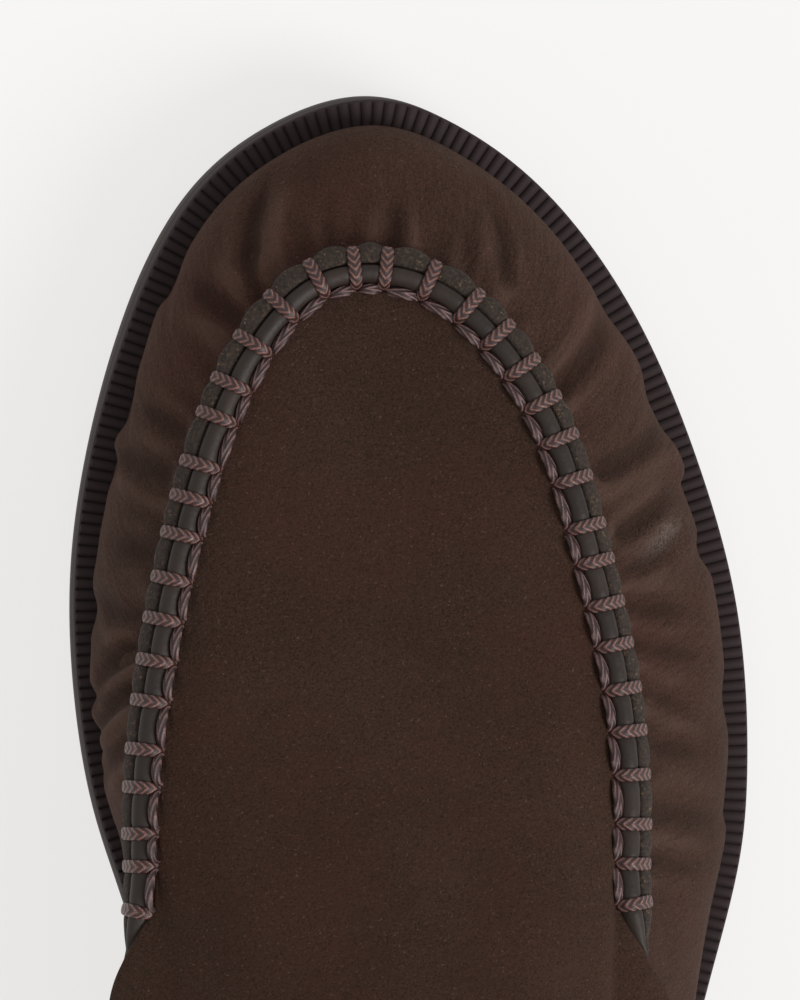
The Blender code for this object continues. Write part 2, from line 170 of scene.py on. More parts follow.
LOWEST_TOP_ROW = min(range(len(TOP_ROWS)), key=lambda row: TOP_ROWS[row].lift)


def smooth(share: np.ndarray | float) -> np.ndarray:
    """An S-shaped step from 0 to 1."""
    share = np.clip(share, 0.0, 1.0)
    return share * share * (3.0 - 2.0 * share)


def bell(distance: np.ndarray, reach: float) -> np.ndarray:
    """A soft hump of height 1 that fades over a reach."""
    return np.exp(-((distance / reach) ** 2))


def blend(share: np.ndarray, full: float, none: float) -> np.ndarray:
    """A value that is full at share 1 and none at share 0."""
    return none + (full - none) * share


def spatial(plan: np.ndarray, height: np.ndarray | float) -> np.ndarray:
    """Points in space from across and along in plan, and a height."""
    level = np.broadcast_to(height, plan.shape[:-1])
    return np.concatenate([plan, level[..., None]], axis=-1)


def unit(vectors: np.ndarray) -> np.ndarray:
    """Vectors of length 1."""
    return vectors / np.linalg.norm(vectors, axis=-1, keepdims=True)


def wrapped(places: np.ndarray) -> np.ndarray:
    """Distances round the shoe, in sections, brought between minus and plus half a round."""
    return (places + HEEL_PLACE) % SECTIONS - HEEL_PLACE


def stepped(table: Sequence[tuple[float, float]], places: np.ndarray) -> np.ndarray:
    """A value that eases from row to row of a table of places and values, round the shoe.

    Args:
        table: places in rising order, from -15 to 15, each with its value.
        places: where the value is wanted.

    Returns:
        The values at the places.
    """
    spots = np.array([row[0] for row in table])
    values = np.array([row[1] for row in table])
    place = wrapped(places)
    index = np.clip(np.searchsorted(spots, place) - 1, 0, len(spots) - 2)
    share = smooth((place - spots[index]) / (spots[index + 1] - spots[index]))
    return values[index] + (values[index + 1] - values[index]) * share


def closed_spline(stations: Sequence[tuple[float, ...]]) -> Curve:
    """A smooth closed curve through stations, as a function of the place round the shoe."""
    knots = np.asarray(stations, dtype=float)
    count = len(knots)
    matrix = 4.0 * np.eye(count) + np.roll(np.eye(count), 1, axis=0) + np.roll(np.eye(count), -1, axis=0)
    slopes = np.linalg.solve(matrix, 3.0 * (np.roll(knots, -1, axis=0) - np.roll(knots, 1, axis=0)))

    def curve(place: np.ndarray) -> np.ndarray:
        """The curve's values at a place."""
        place = np.asarray(place, dtype=float) % count
        index = np.floor(place).astype(int)
        after = (index + 1) % count
        t = (place - index)[..., None]
        return (
            (2 * t**3 - 3 * t**2 + 1) * knots[index]
            + (t**3 - 2 * t**2 + t) * slopes[index]
            + (3 * t**2 - 2 * t**3) * knots[after]
            + (t**3 - t**2) * slopes[after]
        )

    return curve


def outward(curve: Curve, place: np.ndarray) -> np.ndarray:
    """Level unit vectors, across and along, that point out of a closed curve."""
    step = 0.01
    run = curve(place + step)[..., :2] - curve(place - step)[..., :2]
    run = unit(run)
    return np.stack([run[..., 1], -run[..., 0]], axis=-1)


def grid_normals(points: np.ndarray) -> np.ndarray:
    """Outward unit normals of a grid of rows, from foot to top, with closed columns."""
    round_step = np.roll(points, -1, axis=1) - np.roll(points, 1, axis=1)
    return unit(np.cross(round_step, np.gradient(points, axis=0)))


@dataclass
class Last:
    """The shape that the shoe is made on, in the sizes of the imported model."""

    sole_length: float = 0.275
    ball_width: float = 0.1038
    heel_width: float = 0.067
    outsole: float = 0.007
    toe_spring: float = 0.008
    tread_front: float = 0.060
    tread_back: float = 0.115
    heel_height: float = 0.017
    heel_length: float = 0.070
    heel_rest: float = 0.030
    gap: float = 0.0003
    welt: float = 0.0032
    welt_show: float = 0.0042
    throat: float = 0.165
    back_lean: float = 0.0087
    opening_width: float = 0.060
    instep_height: float = 0.057
    quarter_height: float = 0.038
    back_height: float = 0.052
    wall_bulge: float = 0.0020
    cap_bow: float = 0.0012
    instep_dip: float = 0.0070
    seam_width: float = 0.0056
    flattening: float = math.radians(18.0)

    def __post_init__(self) -> None:
        """Draw the three closed curves that the shoe hangs on."""
        self.sole = self._round(self._sole_station)
        self.line = self._round(self._line_station)
        self.top = self._round(self._top_station)
        fine = np.linspace(0.0, SECTIONS, 6001)
        steps = np.linalg.norm(np.diff(self.line(fine)[:, :3], axis=0), axis=1)
        self._fine = fine
        self._seam_arc = np.concatenate([[0.0], np.cumsum(steps)])
        self.seam_length = float(self._seam_arc[-1])

    @staticmethod
    def _round(station: Callable[[int, int], tuple[float, ...]]) -> Curve:
        """A closed curve from the toe down the inner side (1) and up the outer side (-1)."""
        inner = [station(row, 1) for row in range(LAST_ROW + 1)]
        return closed_spline(inner + [station(row, -1) for row in range(LAST_ROW - 1, 0, -1)])

    def _local_width(self, row: int) -> float:
        """The width that a section's shares are taken of."""
        return self.ball_width + (self.heel_width - self.ball_width) * SOLE_ROWS[row].heel_part

    def _sole_station(self, row: int, side: int) -> tuple[float, float]:
        """One point of the sole's outline: across and along."""
        section = SOLE_ROWS[row]
        across = section.inner if side > 0 else section.outer
        return (across * self._local_width(row), section.along * self.sole_length)

    def _line_station(self, row: int, side: int) -> tuple[float, ...]:
        """One point of the seam line: across, along, height, slope, seam."""
        section = LINE_ROWS[row]
        along = section.along * self.sole_length
        across, rise, slope = section.outer, section.outer_rise, section.outer_slope
        if side > 0:
            across, rise, slope = section.inner, section.inner_rise, section.inner_slope
        height = float(self.bench(along)) + rise * self.instep_height
        return (across * self._local_width(row), along, height, math.radians(slope), section.seam)

    def _top_station(self, row: int, side: int) -> tuple[float, ...]:
        """One point of the topline: across, along, height, dip."""
        section = TOP_ROWS[row]
        along = self.throat + (self.sole_length - self.back_lean - self.throat) * section.along
        end = self.instep_height if row <= LOWEST_TOP_ROW else self.back_height
        rise = self.quarter_height + (end - self.quarter_height) * section.lift
        across = section.inner if side > 0 else section.outer
        return (across * self.opening_width, along, float(self.bench(along)) + rise, section.dip * self.instep_dip)

    def underside(self, along: np.ndarray | float) -> np.ndarray:
        """Height of the outsole's underside: toe spring, flat tread, arch and heel seat."""
        spring = np.clip((self.tread_front - along) / self.tread_front, 0.0, None) ** 2 * self.toe_spring
        breast = self.sole_length - self.heel_length
        return spring + self.heel_height * smooth((along - self.tread_back) / (breast - self.tread_back))

    def welt_base(self, along: np.ndarray | float) -> np.ndarray:
        """Height of the welt's underside."""
        return self.underside(along) + self.outsole + self.gap

    def bench(self, along: np.ndarray | float) -> np.ndarray:
        """Height on which the upper stands, just over the welt."""
        return self.welt_base(along) + self.welt + self.gap

    def to_world(self, points: np.ndarray) -> np.ndarray:
        """From across, along and height to the frame with its origin under the heel."""
        moved = np.array(points, dtype=float)
        moved[..., 1] -= self.sole_length - self.heel_rest
        return moved

    def sole_loop(self, place: np.ndarray, inset: np.ndarray | float) -> np.ndarray:
        """The sole's outline, moved inwards by an inset: across and along."""
        inset = np.asarray(inset)[..., None]
        return self.sole(place) - outward(self.sole, place) * inset

    def foot(self, place: np.ndarray) -> np.ndarray:
        """Where the upper meets the welt."""
        plan = self.sole_loop(place, self.welt_show)
        return spatial(plan, self.bench(plan[..., 1]))

    def wall(self, place: np.ndarray, share: np.ndarray) -> np.ndarray:
        """A point of the side wall, from the foot (share 0) to the seam line (share 1)."""
        foot = self.foot(place)
        line = self.line(place)
        shoulder, slope = line[..., :3], line[..., 3:4]
        reach = HANDLE * np.linalg.norm(shoulder - foot, axis=-1, keepdims=True)
        low = foot + UP * reach + spatial(outward(self.sole, place), 0.0) * self.wall_bulge
        inwards = -spatial(outward(self.line, place), 0.0)
        high = shoulder - reach * (inwards * np.cos(slope) + UP * np.sin(slope))
        t = np.asarray(share)[..., None]
        return (1 - t) ** 3 * foot + 3 * (1 - t) ** 2 * t * low + 3 * (1 - t) * t**2 * high + t**3 * shoulder

    def share_under_line(self, place: np.ndarray, distance: np.ndarray) -> np.ndarray:
        """The share of the wall that ends a short distance below the seam line."""
        span = np.linalg.norm(self.line(place)[..., :3] - self.foot(place), axis=-1)
        return 1.0 - distance / (3.0 * HANDLE * span)

    def over_line(self, place: np.ndarray, distance: np.ndarray) -> np.ndarray:
        """A point a short distance past the seam line, on the way to the topline."""
        line = self.line(place)
        slope = line[..., 3:4] - self.flattening * line[..., 4:5]
        inwards = -spatial(outward(self.line, place), 0.0)
        rise = inwards * np.cos(slope) + UP * np.sin(slope)
        return line[..., :3] + rise * np.asarray(distance)[..., None]

    def cap(self, place: np.ndarray, start: np.ndarray, share: float) -> np.ndarray:
        """A point of the apron or collar, from its edge at the line to the topline."""
        top = self.top(place)
        outwards = spatial(outward(self.line, place), 0.0)
        plain = 1.0 - self.line(place)[..., 4:5]
        point = start + (top[..., :3] - start) * share
        point = point + outwards * plain * self.cap_bow * math.sin(math.pi * share)
        point[..., 2] -= top[..., 3] * math.sin(math.pi * share**0.9)
        return point

    def seam(self, place: np.ndarray) -> np.ndarray:
        """1 where the seam is raised, 0 where the line is a plain step."""
        return np.clip(self.line(place)[..., 4], 0.0, 1.0)

    def seam_frame(self, place: np.ndarray) -> tuple[np.ndarray, np.ndarray, np.ndarray]:
        """The seam line's points with their unit vectors towards the apron and off the surface."""
        line = self.line(place)
        slope = line[..., 3:4] - self.flattening / 2 * line[..., 4:5]
        outwards = spatial(outward(self.line, place), 0.0)
        across = UP * np.sin(slope) - outwards * np.cos(slope)
        off = outwards * np.sin(slope) + UP * np.cos(slope)
        return line[..., :3], across, off

    def seam_arc(self, place: np.ndarray) -> np.ndarray:
        """Length along the seam line from the toe, positive down the inner side."""
        spot = wrapped(np.asarray(place, dtype=float))
        arc = np.interp(spot % SECTIONS, self._fine, self._seam_arc)
        return np.where(spot < 0.0, arc - self._seam_arc[-1], arc)

    def seam_place(self, arc: np.ndarray) -> np.ndarray:
        """The place at a length along the seam line."""
        return np.interp(np.asarray(arc) % self._seam_arc[-1], self._seam_arc, self._fine)


class Signal:
    """A value in a shader that takes part in Python expressions."""

    def __init__(self, surface: "Surface", socket: bpy.types.NodeSocket) -> None:
        """Hold a socket and the surface it belongs to."""
        self.surface = surface
        self.socket = socket

    def _math(self, operation: str, *values: "Signal | float") -> "Signal":
        """A Math node on some values."""
        node = self.surface.add("Math", {"operation": operation}, dict(enumerate(values)))
        return Signal(self.surface, node.outputs[0])

    def __add__(self, other: "Signal | float") -> "Signal":
        """Sum."""
        return self._math("ADD", self, other)

    def __radd__(self, other: float) -> "Signal":
        """Sum, from the right."""
        return self._math("ADD", other, self)

    def __sub__(self, other: "Signal | float") -> "Signal":
        """Difference."""
        return self._math("SUBTRACT", self, other)

    def __rsub__(self, other: float) -> "Signal":
        """Difference, from the right."""
        return self._math("SUBTRACT", other, self)

    def __mul__(self, other: "Signal | float") -> "Signal":
        """Product."""
        return self._math("MULTIPLY", self, other)

    def __rmul__(self, other: float) -> "Signal":
        """Product, from the right."""
        return self._math("MULTIPLY", other, self)

    def sine(self) -> "Signal":
        """Sine."""
        return self._math("SINE", self)

    def size(self) -> "Signal":
        """Absolute value."""
        return self._math("ABSOLUTE", self)

    def step(self, low: float, high: float) -> "Signal":
        """A smooth step from 0 at low to 1 at high."""
        node = self.surface.add(
            "MapRange", {"interpolation_type": "SMOOTHSTEP"}, {"Value": self, "From Min": low, "From Max": high}
        )
        return Signal(self.surface, node.outputs["Result"])


class Surface:
    """A material and its node tree, with one way to add a node."""

    def __init__(self, name: str) -> None:
        """Start a material with a Principled shader."""
        self.material = bpy.data.materials.new(name)
        self.material.use_nodes = True
        self.tree = self.material.node_tree
        self.shader = self.tree.nodes["Principled BSDF"]

    def add(self, kind: str, settings: dict | None = None, sockets: dict | None = None) -> bpy.types.Node:
        """Add a node.

        Args:
            kind: the node's type, without its ShaderNode prefix.
            settings: the node's own settings, set first.
            sockets: values or signals of its inputs, by name or number.

        Returns:
            The node.
        """
        node = self.tree.nodes.new(f"ShaderNode{kind}")
        for name, value in (settings or {}).items():
            setattr(node, name, value)
        for key, value in (sockets or {}).items():
            self.feed(node.inputs[key], value)
        return node

    def feed(self, socket: bpy.types.NodeSocket, value: "Signal | float | Sequence[float]") -> None:
        """Link a signal to a socket, or set the socket's own value."""
        if isinstance(value, Signal):
            self.tree.links.new(value.socket, socket)
        else:
            socket.default_value = value

    def output(self, node: bpy.types.Node, name: str | int) -> Signal:
        """A node's output as a signal."""
        return Signal(self, node.outputs[name])

    def place(self) -> Signal:
        """The object's own coordinates."""
        return self.output(self.add("TexCoord"), "Object")

    def chart(self) -> Signal:
        """The piece's own chart, in metres along and across."""
        return self.output(self.add("UVMap", {"uv_map": "chart"}), "UV")

    def mark(self, name: str) -> Signal:
        """A value that the mesh holds at each of its points."""
        return self.output(self.add("Attribute", {"attribute_name": name}), "Fac")

    def noise(self, where: Signal, size: float, detail: float = 2.0, roughness: float = 0.5) -> Signal:
        """Soft noise whose grains have about the given size."""
        sockets = {"Vector": where, "Scale": 1.0 / size, "Detail": detail, "Roughness": roughness}
        return self.output(self.add("TexNoise", None, sockets), "Fac")

    def stretched(self, where: Signal, scale: Sequence[float]) -> Signal:
        """Coordinates scaled along each axis."""
        node = self.add("Mapping", None, {"Vector": where, "Scale": scale})
        return self.output(node, "Vector")

    def mix(self, share: Signal | float, first: "Signal | Colour", second: "Signal | Colour") -> Signal:
        """A colour between two colours."""
        colours = [value if isinstance(value, Signal) else (*value, 1.0) for value in (first, second)]
        node = self.add("Mix", {"data_type": "RGBA"}, {0: share, 6: colours[0], 7: colours[1]})
        return self.output(node, 2)

    def bump(self, height: Signal, depth: float, under: Signal | None = None) -> Signal:
        """A normal from a height signal, depth metres deep, over another normal."""
        sockets = {"Height": height, "Distance": depth, "Strength": 1.0}
        if under is not None:
            sockets["Normal"] = under
        return self.output(self.add("Bump", None, sockets), "Normal")

    def paint(self, **sockets: "Signal | float | Sequence[float]") -> None:
        """Feed the shader's sockets; a name's underscores stand for spaces."""
        for name, value in sockets.items():
            self.feed(self.shader.inputs[name.replace("_", " ")], value)


class Blank:
    """A piece in the making: grids of points that are laid down and welded into one mesh."""

    def __init__(self, name: str) -> None:
        """Start an empty piece."""
        self.name = name
        self.bm = bmesh.new()

    def lay(
        self,
        courses: np.ndarray,
        closed_round: bool = False,
        closed_over: bool = False,
        chart: np.ndarray | None = None,
        marks: dict[str, np.ndarray] | None = None,
    ) -> None:
        """Lay a grid over rows of points.

        Args:
            courses: points by row and column, in the frame's own coordinates.
            closed_round: whether the last column joins the first one.
            closed_over: whether the last row joins the first one.
            chart: along and across in metres at each point, with one more column or row
                than courses where the grid is closed.
            marks: named values at each point.
        """
        rows, columns = courses.shape[:2]
        across, up = columns - 1 + int(closed_round), rows - 1 + int(closed_over)
        patch = bmesh.new()
        patch.loops.layers.uv.new("chart")
        bmesh.ops.create_grid(patch, x_segments=across, y_segments=up, size=1.0, calc_uvs=True)
        mesh = bpy.data.meshes.new("patch")
        patch.to_mesh(mesh)
        patch.free()
        spots = np.empty(len(mesh.vertices) * 3, dtype=np.float32)
        mesh.vertices.foreach_get("co", spots)
        spots = spots.reshape(-1, 3)
        share = (spots - spots.min(axis=0)) / np.maximum(np.ptp(spots, axis=0), WELD)
        column = np.rint(share[:, 0] * across).astype(int)
        row = np.rint(share[:, 1] * up).astype(int)
        placed = courses[row % rows, column % columns]
        mesh.vertices.foreach_set("co", placed.astype(np.float32).ravel())
        if chart is not None:
            corners = np.empty(len(mesh.loops), dtype=np.int32)
            mesh.loops.foreach_get("vertex_index", corners)
            spread = chart[row[corners], column[corners]]
            mesh.uv_layers["chart"].data.foreach_set("uv", spread.astype(np.float32).ravel())
        for name, values in (marks or {}).items():
            held = mesh.attributes.new(name, "FLOAT", "POINT")
            held.data.foreach_set("value", values[row % rows, column % columns].astype(np.float32))
        self.bm.from_mesh(mesh)
        bpy.data.meshes.remove(mesh)

    def make(self, finish: "Finish", slot: Slot, hides: Sequence[str] = (), sharp: float = 40.0) -> bpy.types.Object:
        """Weld the grids, turn the faces out and put the piece on the shoe.

        Args:
            finish: what the piece is dressed in.
            slot: the record's material slot; not used.
            hides: the CAD nodes that the piece stands for.
            sharp: the angle in degrees from which an edge stays sharp.

        Returns:
            The new piece.
        """
        bmesh.ops.remove_doubles(self.bm, verts=self.bm.verts, dist=WELD)
        bmesh.ops.dissolve_degenerate(self.bm, edges=self.bm.edges, dist=WELD)
        bmesh.ops.recalc_face_normals(self.bm, faces=self.bm.faces)
        mesh = bpy.data.meshes.new(self.name)
        self.bm.to_mesh(mesh)
        self.bm.free()
        mesh.materials.append(finish.material())
        mesh.shade_smooth()
        mesh.set_sharp_from_angle(angle=math.radians(sharp))
        piece = bpy.data.objects.new(self.name, mesh)
        bpy.context.scene.collection.objects.link(piece)
        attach(piece, "root")
        if hides:
            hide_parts(*hides)
        LOG.info("%s: %d faces", self.name, len(mesh.polygons))
        return piece


class Finish:
    """What a piece is dressed in; each kind paints its own surface once."""

    def material(self) -> bpy.types.Material:
        """The finish's material, made when it is first asked for."""
        name = getattr(self, "name")
        if name not in bpy.data.materials:
            surface = Surface(name)
            self.dress(surface)
        return bpy.data.materials[name]

    def dress(self, surface: Surface) -> None:
        """Paint the surface."""
        raise NotImplementedError


@dataclass(frozen=True)
class Nubuck(Finish):
    """Napped leather: a fine soft nap, pale grains, cloudy colour, and on worn leather fold ridges lightened by rubbed
    wear and a painted highlight and fold troughs darkened by painted shade.
    """

    name: str
    dark: Colour
    light: Colour
    red: Colour
    pale: Colour = (0.20, 0.125, 0.095)
    deep: Colour = (0.014, 0.007, 0.005)
    nap: float = 0.34 * MM
    cloud: float = 16.0 * MM
    tone: float = 38.0 * MM
    worn: bool = False

    def dress(self, surface: Surface) -> None:
        """Mix clouds, nap and pale grains; on worn leather, lighten the fold ridges (rubbed wear and painted
        highlight) and darken the fold troughs (painted shade).
        """
        place = surface.place()
        cloud = surface.noise(place, self.cloud, 4.0, 0.6).step(0.3, 0.7)
        tone = surface.noise(place, self.tone, 3.0, 0.6).step(0.40, 0.66)
        nap = surface.noise(place, self.nap, 3.0, 0.7)
        grains = surface.noise(place, self.nap * 1.4, 2.0, 0.8).step(0.60, 0.76)
        blotch = surface.noise(place, self.nap * 9.0, 4.0, 0.75)
        body = surface.mix(cloud * 0.45 + nap.step(0.36, 0.64) * 0.8 - 0.15, self.dark, self.light)
        body = surface.mix(tone * 0.55 + blotch.step(0.5, 0.7) * 0.3, body, self.red)
        body = surface.mix(nap.step(0.50, 0.34) * 0.55, body, self.deep)
        body = surface.mix(grains * 0.42, body, self.pale)
        creases = blotch * 0.6 + surface.noise(place, self.nap * 3.0, 3.0, 0.6) * 0.4
        normal = surface.bump(nap, 0.30 * MM, surface.bump(creases, 0.40 * MM))
        if self.worn:
            drawn = surface.noise(surface.stretched(surface.chart(), (1.0, 0.22, 1.0)), 2.4 * MM, 3.0, 0.6)
            normal = surface.bump(drawn, 0.9 * MM, normal)
            # Fold relief from the vamp: the ridges take the pale colour as rubbed wear and painted highlight, the
            # troughs take the deep colour as painted shade.
            fold_shading_and_wear = surface.mark("fold_shading_and_wear")
            body = surface.mix(fold_shading_and_wear.step(0.1, 1.1) * 0.16, body, self.pale)
            body = surface.mix((0.0 - fold_shading_and_wear).step(0.0, 1.2) * 0.45, body, self.deep)
            scuff = surface.mark("scuff") * (nap.step(0.40, 0.62) * 0.5 + blotch.step(0.35, 0.65) * 0.5)
            body = surface.mix(scuff * 0.40, body, (0.33, 0.27, 0.25))
        surface.paint(
            Base_Color=body,
            Roughness=0.82 + nap * 0.12,
            Normal=normal,
            Sheen_Weight=0.06,
            Sheen_Roughness=0.5,
            Sheen_Tint=(0.8, 0.55, 0.42, 1.0),
            Specular_IOR_Level=0.10,
        )


@dataclass(frozen=True)
class CutEdge(Finish):
    """The raw cut edge of thick leather: open fibres with tan and gold flecks."""

    name: str = "raw_cut_edge"
    dark: Colour = (0.017, 0.011, 0.008)
    body: Colour = (0.046, 0.029, 0.020)
    fleck: Colour = (0.30, 0.17, 0.085)

    def dress(self, surface: Surface) -> None:
        """Flecks of fibre on a dark ground."""
        place = surface.place()
        fibres = surface.noise(place, 0.55 * MM, 4.0, 0.75)
        clumps = surface.noise(place, 1.5 * MM, 2.0)
        body = surface.mix(fibres.step(0.35, 0.65), self.dark, self.body)
        flecks = fibres.step(0.56, 0.70) * clumps.step(0.44, 0.62)
        body = surface.mix(flecks * 0.75, body, self.fleck)
        normal = surface.bump(fibres, 0.28 * MM, surface.bump(clumps, 0.25 * MM))
        surface.paint(Base_Color=body, Roughness=0.78 - flecks * 0.25, Normal=normal, Specular_IOR_Level=0.4)


@dataclass(frozen=True)
class SmoothLeather(Finish):
    """Smooth leather with fine pores and a soft shine."""

    name: str
    colour: Colour
    deep: Colour
    rough: float = 0.45
    grain: float = 0.9 * MM
    depth: float = 0.05 * MM

    def dress(self, surface: Surface) -> None:
        """Pores and faint clouds."""
        place = surface.place()
        pores = surface.output(
            surface.add("TexVoronoi", {"feature": "SMOOTH_F1"}, {"Vector": place, "Scale": 1.0 / self.grain}),
            "Distance",
        )
        cloud = surface.noise(place, 11.0 * MM, 3.0)
        body = surface.mix(cloud.step(0.3, 0.7), self.deep, self.colour)
        surface.paint(
            Base_Color=body,
            Roughness=self.rough + cloud * 0.15 - 0.07,
            Normal=surface.bump(pores, self.depth),
            Specular_IOR_Level=0.4,
        )


@dataclass(frozen=True)
class WaxedCord(Finish):
    """Flat plaited cord, waxed: slanting strands, with painted shade in the grooves between them and painted
    highlights on their crowns.
    """

    name: str
    colour: Colour
    deep: Colour
    glint_colour: Colour
    strand: float
    slant: float

    def dress(self, surface: Surface) -> None:
        """Two families of slanting strands that cross in the middle of the cord."""
        split = surface.add("SeparateXYZ", None, {"Vector": surface.chart()})
        along, across = surface.output(split, "X"), surface.output(split, "Y")
        turns = math.tau / self.strand
        wander = surface.noise(surface.place(), 1.6 * MM, 1.0) * (0.5 * MM)
        slanted = (along + across.size() * self.slant + wander) * turns
        strands = slanted.sine() * 0.5 + 0.5
        fibres = surface.noise(surface.place(), 0.16 * MM, 2.0, 0.7)
        # Painted shade: the deep colour fills the grooves between the strands.
        body = surface.mix(strands.step(0.1, 0.9), self.deep, self.colour)
        # Painted highlight: a pale glint colour on the strands' crowns.
        painted_glints = strands.step(0.55, 1.0) * fibres.step(0.42, 0.68)
        body = surface.mix(painted_glints * 0.75, body, self.glint_colour)
        normal = surface.bump(fibres, 0.05 * MM, surface.bump(strands, 0.16 * MM))
        surface.paint(
            Base_Color=body,
            Roughness=0.42 + fibres * 0.2,
            Normal=normal,
            Coat_Weight=0.25,
            Coat_Roughness=0.35,
        )


@dataclass(frozen=True)
class Rubber(Finish):
    """Moulded rubber: even colour, faint mould grain and a set shine."""

    name: str
    colour: Colour
    worn: Colour
    rough: float
    grain: float = 0.30 * MM
    depth: float = 0.02 * MM
    coat: float = 0.0

    def dress(self, surface: Surface) -> None:
        """Fine grain with slow changes of shine."""
        place = surface.place()
        grain = surface.noise(place, self.grain, 2.0, 0.6)
        cloud = surface.noise(place, 9.0 * MM, 3.0)
        surface.paint(
            Base_Color=surface.mix(cloud.step(0.35, 0.75) * 0.5 + grain * 0.2, self.colour, self.worn),
            Roughness=self.rough + cloud * 0.12 - 0.05,
            Normal=surface.bump(grain, self.depth),
            Coat_Weight=self.coat,
            Coat_Roughness=0.18,
        )


@dataclass(frozen=True)
class StudioFloor(Finish):
    """Plain pale floor."""

    name: str = "pale_floor"
    colour: Colour = (0.21, 0.208, 0.206)
    glow: Colour = (1.0, 0.990, 0.973)
    strength: float = 0.725

    def dress(self, surface: Surface) -> None:
        """One matt colour with a glow of its own, so that shadows stay as pale as in a white sweep."""
        surface.paint(
            Base_Color=(*self.colour, 1.0),
            Roughness=0.9,
            Specular_IOR_Level=0.0,
            Emission_Color=(*self.glow, 1.0),
            Emission_Strength=self.strength,
        )


APRON_NUBUCK = Nubuck("apron_nubuck", (0.034, 0.0185, 0.0125), (0.054, 0.029, 0.020), (0.054, 0.021, 0.015))
VAMP_NUBUCK = Nubuck(
    "vamp_nubuck", (0.037, 0.019, 0.0135), (0.060, 0.031, 0.022), (0.062, 0.024, 0.018), worn=True
)
LIP_LEATHER = SmoothLeather("turned_edge", (0.026, 0.0155, 0.011), (0.017, 0.010, 0.0075), 0.55, 0.6 * MM)
LINING_LEATHER = SmoothLeather("lining_leather", (0.36, 0.22, 0.13), (0.29, 0.17, 0.10), 0.55)
BINDING_LEATHER = SmoothLeather("binding_leather", (0.040, 0.020, 0.014), (0.028, 0.014, 0.010), 0.45)
BAR_CORD = WaxedCord(
    "plaited_cord", (0.105, 0.036, 0.031), (0.026, 0.009, 0.008), (0.42, 0.23, 0.17), 1.1 * MM, 1.1
)
RUN_CORD = WaxedCord(
    "running_cord", (0.095, 0.043, 0.039), (0.026, 0.010, 0.010), (0.36, 0.24, 0.23), 2.6 * MM, 4.2
)
WELT_RUBBER = Rubber("welt_rubber", (0.022, 0.012, 0.0085), (0.032, 0.018, 0.013), 0.24, coat=0.6)
SOLE_RUBBER = Rubber("sole_rubber", (0.030, 0.020, 0.017), (0.042, 0.028, 0.024), 0.24, coat=0.3)
TOP_RUBBER = Rubber("top_piece_rubber", (0.015, 0.012, 0.011), (0.024, 0.020, 0.018), 0.5, 0.7 * MM, 0.05 * MM)


class Fold(NamedTuple):
    """A crease across the vamp: a soft trough between two ridges.

    Its ends are places round the shoe and shares of the wall's height, the outer end first.
    Depth and reach are in millimetres. lean raises the ridge on the heel's side and lowers
    the one on the toe's side, on the inner side of the shoe, and the other way round outside.
    """

    start: tuple[float, float]
    end: tuple[float, float]
    depth: float
    reach: float
    lean: float = 0.0


